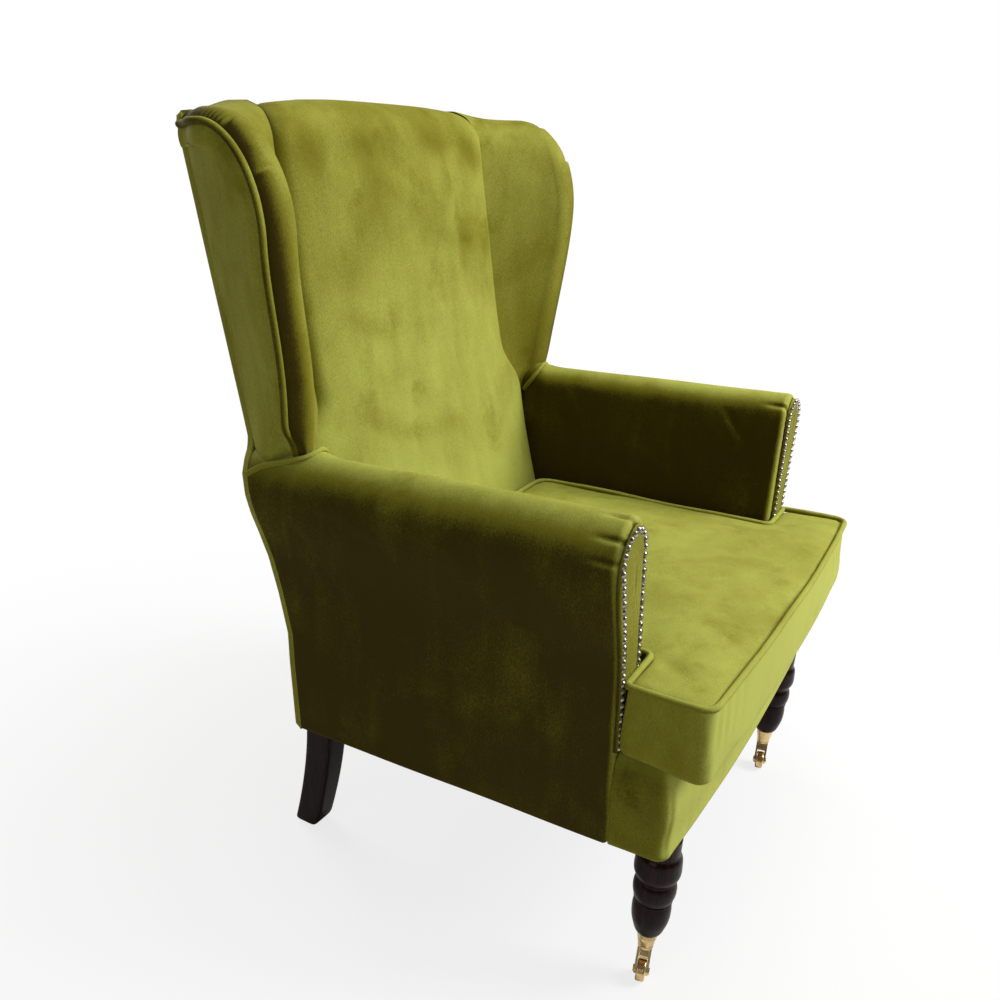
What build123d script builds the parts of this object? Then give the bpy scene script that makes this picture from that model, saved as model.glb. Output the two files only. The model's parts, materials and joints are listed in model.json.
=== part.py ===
from build123d import *
from math import cos, radians, sin, sqrt, tan
import os

# High back wing armchair. Millimetres, +Z up, the sitter faces -Y, right and left are the sitter's.
# The upholstered body is pitched back on its legs, so its sizes are given in a body frame:
# x across, y backwards from the front legs, z up from the floor line, turned by the seat pitch.

# Stance
seat_pitch = 2.2
pivot_ahead = 334.07
front_leg_setback = 6.0
front_leg_half_gauge = 284.0
bend_share = 0.45

# Seat box
base_bottom = 232.0
base_half_width = 340.0
border_ahead = 26.0
border_padding = 12.0
rail_height = 104.0
rail_thickness = 30.0
side_panel = 10.0
block_leg = 70.0
block_height = 80.0
deck_height = 370.0
dust_cover_thickness = 1.0
leg_cutout = 1.0

# Seat springs
wire_radius = 1.9
spring_count = 5
spring_spacing = 92.0
spring_width = 46.0
spring_pitch = 23.0
clip_length = 14.0
clip_width = 16.0
clip_height = 6.5
clip_play = 0.1

# Arms
arm_setback = 50.0
seat_half_gap = 262.0
inner_lean = 33.0
arm_top = 668.0
arm_drop = 10.0
arm_taper = 13.0
shoulder_drop = 32.0
scroll_depth = 108.0
scroll_widest_drop = 60.0
scroll_out = 37.0
scroll_tuck = 2.0
scroll_shoulder_in = 9.0
scroll_shoulder_drop = 24.0
inner_shoulder_in = 9.5
panel_flare = 24.0
panel_hollow = 0.45
panel_straight = 218.0
panel_lean = 8.0
crest_inset = 14.0
arm_pad = 34.0
arm_post_depth = 34.0
arm_rail_drop = 40.0
arm_rail_height = 28.0

# Arm facings and their close nailing
facing_thickness = 5.0
facing_margin = 6.5
facing_lift = 8.0
nail_inner_low = 27.0
nail_inner_high = 16.0
nail_outer = 6.0
nail_scroll = 9.0
nail_waist = 7.8
nail_arch_in = 5.6
nail_arch_out = 12.0
nail_crest_drop = 13.0
nail_radius = 4.7
nail_height = 3.4
nail_pitch = 10.0

# Back
back_foot = 549.0
back_knee = 390.0
back_slope = 0.2
back_panel = 8.0
back_half_width = 335.0
back_top = 1088.0
back_shoulder = 1058.0
post_inner = 268.0
post_width = 44.0
post_depth = 30.0
post_top = 1030.0
cross_rail_height = 55.0
lower_rail_bottom = 455.0
web_thickness = 2.0
web_width = 50.0
web_count = 5
web_tack = 24.0
pad_half_width = 250.0
pad_side_spread = 6.0
pad_arm_gap = 0.5
pad_fall = 10.0
pad_crown = 12.0
pad_flat_share = 0.05
pad_knee = 447.0
pad_waist_height = 690.0
pad_waist = 33.0
pad_lumbar = 19.0
pad_head = 17.0
pad_roll = 60.0
pad_corner_roll = 18.0
crest_roll = 25.0
crest_drop = 14.0
roll_turn = 85.0
pad_steps = 6
roll_steps = 4

# Wings
wing_top = 1066.0
wing_low = 660.0
wing_nose_height = 930.0
wing_nose = 479.0
wing_sweep = 23.0
wing_sweep_power = 1.6
wing_round = 110.0
wing_half_low = 336.0
wing_flare = 36.0
roll_radius = 30.0
roll_angles = (24, -53, -130)
round_angles = (20, 38, 54, 70, 80)
wing_edge_round = 24.0
wing_panel = 6.0
wing_board = 18.0
wing_steps = 5
piping_radius = 4.5
wing_piping_drop = 18.0
piping_climb = (0.35, 0.7, 1.0)
piping_turn = 0.55
piping_along = (0.98, 0.74, 0.38, 0.03)

# Loose seat cushion
cushion_gap = 0.3
cushion_border = 96.5
cushion_crown = 18.0
cushion_overhang = 40.0
ear_half_width = 345.5
cushion_half_width = 264.0
nail_clearance = 2.0
back_clearance = 2.0
front_bow = 10.0
side_draw = 4.0
bottom_inset = 8.0
bottom_round = 12.0
border_swell = 3.0
crown_inset = 44.0
crown_shoulder = 20.0
crown_shoulder_rise = 10.8
front_bow_share = 0.4
cushion_corner = 18.0

# Legs
leg_block_radius = 26.0
leg_ring = 28.5
leg_neck = 22.6
leg_bead = 26.6
leg_swell = 24.0
leg_toe = 19.0
leg_neck_ease = 2.0
leg_foot_lip = 0.3
leg_stub = 1.1
ring_start = 0.74
ring_middle = 0.64
neck_start = 0.56
neck_middle = 0.535
bead_start = 0.51
bead_middle = 0.44
cove_start = 0.365
cove_middle = 0.34
swell_start = 0.315
swell_middle = 0.21
toe_start = 0.085
toe_middle = 0.045
rear_leg_x = 298.0
rear_leg_top_width = 44.0
rear_leg_top_depth = 46.0
rear_leg_foot_width = 38.0
rear_leg_foot_depth = 44.0
rear_leg_foot_in = 10.0
rear_leg_sweep = 48.5
rear_leg_proud = 2.0
rear_leg_early = 0.36
bolt_radius = 4.0
bolt_half_length = 40.0

# Castors
cup_rim = 73.0
cup_bottom = 50.0
cup_rim_radius = 14.8
cup_base_radius = 10.4
cup_wall = 1.4
cup_floor = 6.0
wheel_radius = 15.0
wheel_width = 12.0
wheel_edge = 2.0
castor_trail = 14.0
castor_heading = 193.0
swivel_gap = 0.4
swivel_plate = 3.6
swivel_pin_radius = 3.5
running_gap = 0.05
cheek = 3.0
cheek_gap = 0.5
cheek_boss = 6.5
cheek_root = 3.1
axle_radius = 3.0
axle_head_radius = 4.6
axle_head = 1.6
screw_radius = 1.6
screw_head_radius = 2.6
screw_bite = 8.0
screw_proud = 0.8

# Derived places in the body frame
rail_top = base_bottom + rail_height
panel_inner = base_half_width - side_panel
rail_inner = panel_inner - rail_thickness
border_inner = border_padding - border_ahead
front_rail_back = border_inner + rail_thickness
back_low = back_foot - back_panel
post_face_low = back_low - post_depth
post_outer = post_inner + post_width
deck_bottom = rail_top + 2 * wire_radius + clip_play
clip_cavity = rail_top + clip_height + clip_play
kink_height = arm_top - scroll_depth
kink_x = base_half_width + panel_flare
widest_x = base_half_width + scroll_out
crest_x = base_half_width - crest_inset
shoulder_x = seat_half_gap + inner_lean
shoulder_height = arm_top - shoulder_drop
straight_top = base_bottom + panel_straight
arm_rail_top = arm_top - arm_rail_drop
arm_rail_bottom = arm_rail_top - arm_rail_height
cushion_front = -border_ahead - cushion_overhang
ear_rear = arm_setback - facing_thickness - nail_height - nail_clearance
cushion_bottom = deck_height + cushion_gap
cushion_edge = cushion_bottom + cushion_border
reach = 2 * (base_half_width + scroll_out)
tall = back_top + reach

pieces = {}

# Planes of the pitched body
pitch_sin = sin(radians(seat_pitch))
pitch_cos = cos(radians(seat_pitch))
body = Plane((0, -pivot_ahead, 0), x_dir=(1, 0, 0), z_dir=(0, pitch_sin, pitch_cos))
back_way = Vector(0, pitch_cos, -pitch_sin)


def level(z):
    """Plane of the body at height z: sketch x is x, sketch y is y."""
    return body.offset(z)


def across(y):
    """Cross plane of the body at depth y: sketch x is x, sketch y is z."""
    return Plane(body.from_local_coords((0, y, 0)), x_dir=(1, 0, 0), z_dir=back_way * -1)


def lengthwise(x):
    """Side plane of the body at x: sketch x is y, sketch y is z."""
    return Plane(body.from_local_coords((x, 0, 0)), x_dir=back_way, z_dir=(1, 0, 0))


def beam(x_span, y_span, z_span, mode=Mode.ADD):
    """Squared timber or slab between two corners of the body frame."""
    with BuildSketch(level(z_span[0])) as end:
        with Locations((sum(x_span) / 2, sum(y_span) / 2)):
            Rectangle(x_span[1] - x_span[0], y_span[1] - y_span[0])
    extrude(end.sketch, amount=z_span[1] - z_span[0], mode=mode)


def raked_bar(x_span, bottom, top, front, rear):
    """Bar across the chair whose front and rear depths follow two functions of height."""
    with BuildSketch(lengthwise(x_span[0])) as end:
        with BuildLine():
            Polyline(
                (front(bottom), bottom),
                (rear(bottom), bottom),
                (rear(top), top),
                (front(top), top),
                close=True,
            )
        make_face()
    extrude(end.sketch, amount=x_span[1] - x_span[0])


def cut_by(*tools):
    """Take the space of other pieces out of the piece being made."""
    for tool in tools:
        add(tool.part, mode=Mode.SUBTRACT)


def pair(name, left):
    """Keep a left-hand piece and its mirrored right-hand twin."""
    with BuildPart() as right:
        mirror(left.part, about=Plane.YZ)
    pieces[name + "_left"] = left
    pieces[name + "_right"] = right


def bend_radii(points):
    """Largest corner radius that each pair of neighbouring runs leaves room for."""
    radii = []
    for before, at, after in zip(points, points[1:], points[2:]):
        run_in = Vector(at) - Vector(before)
        run_out = Vector(after) - Vector(at)
        half_turn = radians(run_in.get_angle(run_out) / 2)
        radii.append(bend_share * min(run_in.length, run_out.length) / tan(half_turn))
    return radii


def back_inner(z):
    """Depth of the outside back's inner face, upright to the knee and raked above it."""
    return back_low + back_slope * max(0.0, z - back_knee)


def post_front(z):
    """Depth of the posts' front faces."""
    return back_inner(z) - post_depth


def web_front(z):
    """Depth of the webbing's front, which carries the inside back."""
    return post_front(z) - web_thickness


def pad_front(z):
    """Depth of the inside back's side edges: thick at the lumbar, waisted, then rolled over the top."""
    over = max(0.0, z - post_top) / (back_top - post_top)
    z = min(max(z, pad_knee), post_top)
    if z < pad_waist_height:
        swell = pad_lumbar * ((pad_waist_height - z) / (pad_waist_height - pad_knee)) ** 2
    else:
        swell = pad_head * ((z - pad_waist_height) / (post_top - pad_waist_height)) ** 2
    return web_front(z) - pad_waist - swell + pad_roll * (1 - sqrt(1 - over**2))


def inner_face(z):
    """Inside face of the arm at height z."""
    return seat_half_gap + inner_lean * (z - rail_top) / (shoulder_height - rail_top)


def pad_side(z):
    """Half width of the inside back behind its front edges: out to the arms, in between the wings."""
    if z < arm_top:
        return inner_face(z) - pad_arm_gap
    return pad_half_width + pad_side_spread


def crest_rear(z):
    """Depth of the rear of the rolled top, which turns forward over the outside back."""
    over = (z - post_top) / (back_top - post_top)
    return back_inner(z) - crest_roll * (1 - sqrt(1 - over**2))


seat_line = pad_front(pad_knee)
cushion_rear = seat_line - back_clearance

# Everything behind the inner face of the outside back
with BuildPart() as behind_back:
    with BuildSketch(lengthwise(-reach)):
        with BuildLine():
            Polyline(
                (back_low, 0),
                (back_low, back_knee),
                (back_inner(tall), tall),
                (tall + reach, tall),
                (tall + reach, 0),
                close=True,
            )
        make_face()
    extrude(amount=2 * reach)

# Hanger bolts that fix the legs
front_leg_y = front_leg_setback - pivot_ahead
rear_leg_y = back_foot + rear_leg_proud - rear_leg_top_depth / 2
with BuildPart() as leg_bolts:
    with BuildSketch(Plane.XY.offset(base_bottom - bolt_half_length)):
        with Locations((-front_leg_half_gauge, front_leg_y), (front_leg_half_gauge, front_leg_y)):
            Circle(bolt_radius)
    extrude(amount=2 * bolt_half_length)
    with BuildSketch(level(base_bottom - bolt_half_length)):
        with Locations((-rear_leg_x, rear_leg_y), (rear_leg_x, rear_leg_y)):
            Circle(bolt_radius)
    extrude(amount=2 * bolt_half_length)
pieces["leg_bolts"] = leg_bolts

# Seat rails
with BuildPart() as front_seat_rail:
    beam((-panel_inner, panel_inner), (border_inner, front_rail_back), (base_bottom, rail_top))
    cut_by(leg_bolts)
pieces["front_seat_rail"] = front_seat_rail

with BuildPart() as rear_seat_rail:
    beam((-post_inner, post_inner), (post_face_low, back_low), (base_bottom, rail_top))
pieces["rear_seat_rail"] = rear_seat_rail

with BuildPart() as side_seat_rail:
    beam((rail_inner, panel_inner), (front_rail_back, post_face_low), (base_bottom, rail_top))
pair("side_seat_rail", side_seat_rail)

# Glued corner blocks inside the seat frame
with BuildPart() as corner_blocks:
    with BuildSketch(level(rail_top - block_height)):
        for side in (-1, 1):
            for corner_y, turn in ((front_rail_back, 1), (post_face_low, -1)):
                with BuildLine():
                    Polyline(
                        (side * rail_inner, corner_y),
                        (side * (rail_inner - block_leg), corner_y),
                        (side * rail_inner, corner_y + turn * block_leg),
                        close=True,
                    )
                make_face()
    extrude(amount=block_height)
pieces["corner_blocks"] = corner_blocks

# Back posts, upright at the seat and raked above the knee, with two cross rails
with BuildPart() as back_post:
    raked_bar((post_inner, post_outer), base_bottom, back_knee, post_front, back_inner)
    raked_bar((post_inner, post_outer), back_knee, post_top, post_front, back_inner)
    cut_by(leg_bolts)
pair("back_post", back_post)

with BuildPart() as top_back_rail:
    raked_bar((-post_inner, post_inner), post_top - cross_rail_height, post_top, post_front, back_inner)
pieces["top_back_rail"] = top_back_rail

lower_rail_top = lower_rail_bottom + cross_rail_height
with BuildPart() as lower_back_rail:
    raked_bar((-post_inner, post_inner), lower_rail_bottom, lower_rail_top, post_front, back_inner)
pieces["lower_back_rail"] = lower_back_rail

# Webbing straps tacked across the fronts of the posts
web_low = lower_rail_bottom + cross_rail_height / 2
web_step = (post_top - cross_rail_height / 2 - web_low) / (web_count - 1)
web_half = post_inner + web_tack
with BuildPart() as back_webbing:
    for strap in range(web_count):
        strap_low = web_low + strap * web_step - web_width / 2
        raked_bar((-web_half, web_half), strap_low, strap_low + web_width, web_front, post_front)
pieces["back_webbing"] = back_webbing

# Arm stump and arm rail
arm_post_back = arm_setback + arm_post_depth
with BuildPart() as arm_post:
    beam((rail_inner, panel_inner), (arm_setback, arm_post_back), (rail_top, arm_rail_bottom))
pair("arm_post", arm_post)

with BuildPart() as arm_rail:
    beam((rail_inner, panel_inner), (arm_setback, back_inner(arm_rail_top)), (arm_rail_bottom, arm_rail_top))
    cut_by(back_post, behind_back)
pair("arm_rail", arm_rail)

# Serpentine springs from the front rail to the rear rail
spring_front = border_inner + clip_length / 2
spring_back = back_low - clip_length / 2
spring_lead = 2 * spring_pitch
loop_run = spring_back - spring_front - 2 * spring_lead
loop_count = 2 * int(loop_run / (2 * spring_pitch))
loop_pitch = loop_run / loop_count
spring_corners = [(0, spring_front), (0, spring_front + spring_lead)]
for loop in range(loop_count):
    swing = spring_width / 2 if loop % 2 == 0 else -spring_width / 2
    loop_start = spring_front + spring_lead + loop * loop_pitch
    spring_corners += [(swing, loop_start), (swing, loop_start + loop_pitch)]
spring_corners += [(0, spring_back - spring_lead), (0, spring_back)]

with BuildPart() as one_spring:
    with BuildLine(level(rail_top + wire_radius)) as wire:
        FilletPolyline(*spring_corners, radius=bend_share * loop_pitch)
    with BuildSketch(Plane(wire.line @ 0, x_dir=(1, 0, 0), z_dir=wire.line % 0)):
        Circle(wire_radius)
    sweep(path=wire.line)

with BuildPart() as seat_springs:
    with GridLocations(spring_spacing, 0, spring_count, 1):
        add(one_spring.part)
pieces["seat_springs"] = seat_springs

# Clips that hold the spring ends down on the rails
clip_groove = wire_radius + clip_play
with BuildPart() as one_row_of_clips:
    for clip_y in (spring_front, spring_back - clip_length / 2):
        beam(
            (-clip_width / 2, clip_width / 2),
            (clip_y, clip_y + clip_length / 2),
            (rail_top, rail_top + clip_height),
        )
    beam(
        (-clip_groove, clip_groove),
        (border_inner, back_low),
        (rail_top, rail_top + 2 * clip_groove),
        mode=Mode.SUBTRACT,
    )

with BuildPart() as spring_clips:
    with GridLocations(spring_spacing, 0, spring_count, 1):
        add(one_row_of_clips.part)
pieces["spring_clips"] = spring_clips

# Padded deck over the springs
with BuildPart() as seat_platform:
    beam((-seat_half_gap, seat_half_gap), (arm_setback, cushion_rear), (deck_bottom, deck_height))
pieces["seat_platform"] = seat_platform

# Front border: padded cover over the front rail, its side returns and the lip under the cushion
with BuildPart() as front_border:
    beam((-base_half_width, base_half_width), (-border_ahead, arm_setback), (base_bottom, deck_height))
    beam(
        (-panel_inner, panel_inner),
        (border_inner, arm_setback),
        (base_bottom, clip_cavity),
        mode=Mode.SUBTRACT,
    )
pieces["front_border"] = front_border


def panel_edge(inset, taper):
    """Outside arm profile: straight from the base, then flared out to the scroll."""
    start = (base_half_width - inset, base_bottom)
    bend = (base_half_width + panel_lean - inset, straight_top)
    hollow = panel_hollow * (panel_lean + panel_flare - taper)
    middle = (base_half_width + hollow - inset, (straight_top + kink_height) / 2)
    Line(start, bend)
    ThreePointArc(bend, middle, (kink_x - taper - inset, kink_height))


def arm_section(along):
    """Arm outline, 0 at the front to 1 at the back: leaning inside, rolled crest, scroll, flared outside."""
    taper = arm_taper * along
    crest_height = arm_top - arm_drop * along
    kink = (kink_x - taper, kink_height)
    crest = (crest_x, crest_height)
    widest = (widest_x - taper, crest_height - scroll_widest_drop)
    inner = (shoulder_x, crest_height - shoulder_drop)
    scroll_shoulder = (widest[0] - scroll_shoulder_in, crest_height - scroll_shoulder_drop)
    inner_shoulder = (shoulder_x + inner_shoulder_in, crest_height - inner_shoulder_in)
    panel_edge(0, taper)
    ThreePointArc(kink, (widest[0] - scroll_tuck, (kink_height + widest[1]) / 2), widest)
    ThreePointArc(widest, scroll_shoulder, crest)
    ThreePointArc(crest, inner_shoulder, inner)
    Polyline(
        inner,
        (seat_half_gap, rail_top),
        (panel_inner, rail_top),
        (panel_inner, base_bottom),
        (base_half_width, base_bottom),
    )


# Arm form: one section carried from the arm front to the back, falling and narrowing on the way
arm_back = back_inner(arm_top) + back_panel
with BuildPart() as arm_form:
    for along, arm_y in enumerate((arm_setback, arm_back)):
        with BuildSketch(across(arm_y)):
            with BuildLine():
                arm_section(along)
            make_face()
    loft(ruled=True)
    cut_by(behind_back)

with BuildPart() as panel_region:
    for along, panel_y in enumerate((arm_setback, arm_back)):
        with BuildSketch(across(panel_y)):
            with BuildLine():
                panel_edge(side_panel, arm_taper * along)
                Polyline(
                    (kink_x - arm_taper * along - side_panel, kink_height),
                    (reach, kink_height),
                    (reach, base_bottom),
                    (panel_inner, base_bottom),
                )
            make_face()
    loft(ruled=True)

with BuildPart() as outside_arm:
    add(arm_form.part)
    add(panel_region.part, mode=Mode.INTERSECT)
pair("outside_arm", outside_arm)

# Wing shape in plan at any height
nose_span = wing_nose_height - wing_low
round_span = wing_top - wing_nose_height


def wing_points(z):
    """Wing corners at height z: rear, and the outer, front and inner points of the front roll.

    The roll flares outwards as it rises, sweeps forward to the nose, then rounds over to the top.
    """
    rise = min(1.0, max(0.0, (z - wing_low) / nose_span))
    over = max(0.0, z - wing_nose_height) / round_span
    top_over = max(0.0, z - (wing_top - wing_edge_round))
    draw = wing_edge_round - sqrt(wing_edge_round**2 - top_over**2)
    x = wing_half_low + wing_flare * rise * rise * (3 - 2 * rise) - draw
    nose = wing_nose + wing_sweep * (1 - rise) ** wing_sweep_power + wing_round * (1 - sqrt(1 - over**2))
    y = nose + roll_radius + draw
    around = [(x + roll_radius * cos(radians(a)), y + roll_radius * sin(radians(a))) for a in roll_angles]
    return [(back_half_width - draw, back_inner(z))] + around


wing_heights = [wing_low + nose_span * step / wing_steps for step in range(-1, wing_steps + 1)]
wing_heights += [wing_nose_height + round_span * sin(radians(a)) for a in round_angles]

# Region outside the wing board, which the outside wing panel fills
with BuildPart() as wing_panel_region:
    for wing_z in wing_heights:
        rear, outer, front, inner = wing_points(wing_z)
        with BuildSketch(level(wing_z)):
            with BuildLine():
                Polyline(
                    (rear[0] - wing_panel, rear[1]),
                    (outer[0] - wing_panel, outer[1]),
                    (outer[0] + wing_panel, outer[1]),
                    (outer[0] + wing_panel, rear[1]),
                    close=True,
                )
            make_face()
    loft(ruled=True)
    piping_line = wing_top - wing_piping_drop
    beam((0, reach), (0, tall), (piping_line, tall), mode=Mode.SUBTRACT)

# Wing boards stand on the arm rails and against the posts
board_top = post_top - side_panel
with BuildPart() as wing_frame:
    for step in range(wing_steps):
        board_z = arm_rail_top + (board_top - arm_rail_top) * step / (wing_steps - 1)
        rear, outer, front, inner = wing_points(board_z)
        rear_y = back_inner(board_z) - web_thickness
        with BuildSketch(level(board_z)):
            with BuildLine():
                Polyline(
                    (post_outer, rear_y),
                    (post_outer, rear_y - wing_board),
                    (outer[0] - wing_panel - wing_board, outer[1] + wing_board),
                    (outer[0] - wing_panel - wing_board / 3, outer[1] + wing_board),
                    (back_half_width - wing_panel - web_thickness, rear_y),
                    close=True,
                )
            make_face()
    loft(ruled=True)
    cut_by(wing_panel_region)
pair("wing_frame", wing_frame)

# Inside arms: padding over the frame, hollow behind the stump
with BuildPart() as inside_arm:
    add(arm_form.part)
    cut_by(panel_region)
    beam(
        (seat_half_gap + arm_pad, panel_inner),
        (arm_post_back, reach),
        (base_bottom, arm_rail_bottom),
        mode=Mode.SUBTRACT,
    )
    cut_by(arm_post, arm_rail, back_post, back_webbing, wing_frame, side_seat_rail)
pair("inside_arm", inside_arm)


def pad_section(z, rear, side_roll):
    """Plan of the inside back at height z: bowed front, straight sides and rear."""
    rise = min(1.0, max(pad_flat_share, (z - pad_knee) / (arm_top - pad_knee)))
    half = pad_half_width - side_roll
    side = pad_side(z) - side_roll
    edge = pad_front(z)
    ThreePointArc((-half, edge), (0, edge - pad_crown * rise), (half, edge))
    Polyline(
        (half, edge),
        (side, edge + pad_fall),
        (side, rear),
        (-side, rear),
        (-side, edge + pad_fall),
        (-half, edge),
    )


# Inside back: crowned pad on the webbing, with its top rolled over the top rail
pad_rise = [pad_knee + (post_top - pad_knee) * step / pad_steps for step in range(pad_steps + 1)]
with BuildPart() as inside_back:
    for pad_z in [deck_bottom, back_knee] + pad_rise:
        with BuildSketch(level(pad_z)):
            with BuildLine():
                pad_section(pad_z, web_front(pad_z), 0.0)
            make_face()
    loft(ruled=True)
    for step in range(roll_steps + 1):
        pad_z = post_top + (back_top - post_top) * sin(radians(roll_turn * step / roll_steps))
        with BuildSketch(level(pad_z)):
            with BuildLine():
                pad_section(pad_z, crest_rear(pad_z), pad_corner_roll * (step / roll_steps) ** 3)
            make_face()
    loft(ruled=True)
pieces["inside_back"] = inside_back

# Wing form: plan sections from inside the arm up to the rounded top
wing_root = pad_half_width - pad_side_spread
with BuildPart() as wing_form:
    for wing_z in wing_heights:
        rear, outer, front, inner = wing_points(wing_z)
        with BuildSketch(level(wing_z)):
            with BuildLine():
                ThreePointArc(outer, front, inner)
                Polyline(
                    inner,
                    (wing_root, pad_front(wing_z) + 2 * pad_side_spread),
                    (wing_root, back_inner(wing_z)),
                    rear,
                    outer,
                )
            make_face()
    loft(ruled=True)
    cut_by(inside_back, inside_arm, outside_arm, arm_rail, top_back_rail)


def on_wing(z, along):
    """Point on the outer face of the wing at height z, from 0 at the rear to 1 at the roll."""
    rear, outer, front, inner = wing_points(z)
    x = rear[0] + (outer[0] - rear[0]) * along
    y = rear[1] + (outer[1] - rear[1]) * along
    return body.from_local_coords((x, y, z))


# Piping round the outside wing, up behind the roll and back along the top
piping_route = [on_wing(wing_low - arm_drop, 1.0)]
piping_route += [on_wing(wing_low + nose_span * share, 1.0) for share in piping_climb]
piping_route += [on_wing(wing_nose_height + round_span * piping_turn, piping_along[0])]
piping_route += [on_wing(piping_line - piping_radius, piping_along[1])]
piping_route += [on_wing(piping_line, along) for along in piping_along[2:]]
with BuildPart() as wing_piping:
    with BuildLine() as wing_cord:
        FilletPolyline(*piping_route, radius=bend_radii(piping_route))
    with BuildSketch(Plane(wing_cord.line @ 0, z_dir=wing_cord.line % 0)):
        Circle(piping_radius)
    sweep(path=wing_cord.line)
    cut_by(inside_arm, outside_arm, behind_back)
pair("wing_piping", wing_piping)

with BuildPart() as wing_panels:
    add(wing_form.part)
    add(wing_panel_region.part, mode=Mode.INTERSECT)
    cut_by(wing_piping)

with BuildPart() as outside_wing:
    add(wing_panels.solids().sort_by(SortBy.VOLUME)[-1])
pair("outside_wing", outside_wing)

with BuildPart() as wing_pads:
    add(wing_form.part)
    cut_by(outside_wing, wing_piping, wing_frame, back_post, back_webbing)

with BuildPart() as inside_wing:
    add(wing_pads.solids().sort_by(SortBy.VOLUME)[-1])
pair("inside_wing", inside_wing)

# Outside back: one panel over the posts, the ends of the arms and the wings
back_edge = back_top - crest_drop
with BuildPart() as outside_back:
    raked_bar((-reach, reach), base_bottom, back_knee, back_inner, lambda z: back_inner(z) + back_panel)
    raked_bar((-reach, reach), back_knee, back_top, back_inner, lambda z: back_inner(z) + back_panel)
    with BuildSketch(across(0)) as back_outline:
        with BuildLine():
            ThreePointArc((-back_half_width, back_shoulder), (0, back_edge), (back_half_width, back_shoulder))
            Polyline(
                (back_half_width, back_shoulder),
                (back_half_width, base_bottom),
                (-back_half_width, base_bottom),
                (-back_half_width, back_shoulder),
            )
        make_face()
        fillet(back_outline.vertices().group_by(Axis.Y)[-1], radius=wing_edge_round)
        with BuildLine():
            arm_section(1)
        make_face()
        mirror(about=Plane.YZ)
    extrude(back_outline.sketch, amount=-tall, mode=Mode.INTERSECT)
pieces["outside_back"] = outside_back


def nail_line():
    """Close nailing round the arm front: up the inside, over the crest and down the outside."""
    foot = deck_height + facing_lift
    inner_low = (inner_face(foot) + nail_inner_low, foot)
    inner_high = (shoulder_x + nail_inner_high, shoulder_height - nail_inner_high)
    crest = (crest_x + nail_outer, arm_top - nail_crest_drop)
    widest = (widest_x - nail_scroll, arm_top - scroll_widest_drop)
    waist = (base_half_width + panel_lean - nail_outer, straight_top)
    outer_low = (base_half_width + panel_lean / 2 - nail_outer, foot)
    Line(inner_low, inner_high)
    ThreePointArc(
        inner_high,
        (inner_high[0] + nail_arch_in, (inner_high[1] + crest[1]) / 2 + nail_outer),
        crest,
    )
    ThreePointArc(crest, (widest[0] - nail_outer, (crest[1] + widest[1]) / 2 + nail_arch_out), widest)
    ThreePointArc(widest, (kink_x - nail_waist, kink_height - nail_outer), waist)
    Line(waist, outer_low)
    return inner_low, outer_low


# Arm facings and their domed nails
with BuildPart() as arm_facing:
    with BuildSketch(across(arm_setback)):
        with BuildLine():
            Line(*nail_line())
        make_face()
        offset(amount=facing_margin)
    extrude(amount=facing_thickness)
pair("arm_facing", arm_facing)

dome_radius = (nail_radius**2 + nail_height**2) / (2 * nail_height)
with BuildPart() as one_nail:
    with BuildSketch(Plane.XZ):
        with BuildLine():
            ThreePointArc(
                (nail_radius, 0),
                (dome_radius * sin(radians(30)), nail_height - dome_radius * (1 - cos(radians(30)))),
                (0, nail_height),
            )
            Polyline((0, nail_height), (0, 0), (nail_radius, 0))
        make_face()
    revolve(axis=Axis.Z)

nail_plane = across(arm_setback - facing_thickness)
with BuildLine(nail_plane) as nail_row:
    nail_line()
nail_path = nail_row.wire()
nail_gaps = int(nail_path.length / nail_pitch)
nail_spots = []
for n in range(nail_gaps + 1):
    nail_spots.append(Plane(nail_path @ (n / nail_gaps), x_dir=(1, 0, 0), z_dir=nail_plane.z_dir))
with BuildPart() as facing_nails:
    with Locations(*nail_spots):
        add(one_nail.part)
pair("facing_nails", facing_nails)


def cushion_corners(inset, swell=0.0):
    """Corners of the left half of the cushion in plan: front, ear, notch and rear."""
    front = cushion_front + inset - swell
    ear = ear_half_width - inset + swell
    side = cushion_half_width - inset
    return (ear, front), (ear, ear_rear - inset), (side, ear_rear - inset), (side, cushion_rear - inset)


def cushion_section(inset, swell=0.0):
    """Plan of the cushion: bowed front, drawn-in sides, ears in front of the arms."""
    corner, ear, notch, rear = cushion_corners(inset, swell)
    ThreePointArc((-corner[0], corner[1]), (0, corner[1] - front_bow), corner)
    for side in (1, -1):
        ThreePointArc(
            (side * corner[0], corner[1]),
            (side * (corner[0] - side_draw), (corner[1] + ear[1]) / 2),
            (side * ear[0], ear[1]),
        )
        Line((side * ear[0], ear[1]), (side * notch[0], notch[1]))
        ThreePointArc(
            (side * notch[0], notch[1]),
            (side * (notch[0] - side_draw), (notch[1] + rear[1]) / 2),
            (side * rear[0], rear[1]),
        )
    Line(rear, (-rear[0], rear[1]))


# Cushion piping runs round the top edge of the border
corner, ear, notch, rear = cushion_corners(piping_radius)
half_round = [(0, corner[1] - front_bow), corner, ear, notch, rear]
cord_points = half_round + [(-x, y) for x, y in reversed(half_round[1:])]
bow_radius = front_bow_share * corner[0] * corner[0] / front_bow
cord_radii = [bow_radius] + [cushion_corner] * (len(cord_points) - 1)
with BuildPart() as cushion_piping:
    with BuildLine(level(cushion_edge)) as cushion_cord:
        FilletPolyline(*cord_points, radius=cord_radii, close=True)
    cord_start = cushion_cord.wire()
    with BuildSketch(Plane(cord_start @ 0, z_dir=cord_start % 0)):
        Circle(piping_radius)
    sweep(path=cord_start)
pieces["cushion_piping"] = cushion_piping

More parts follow.
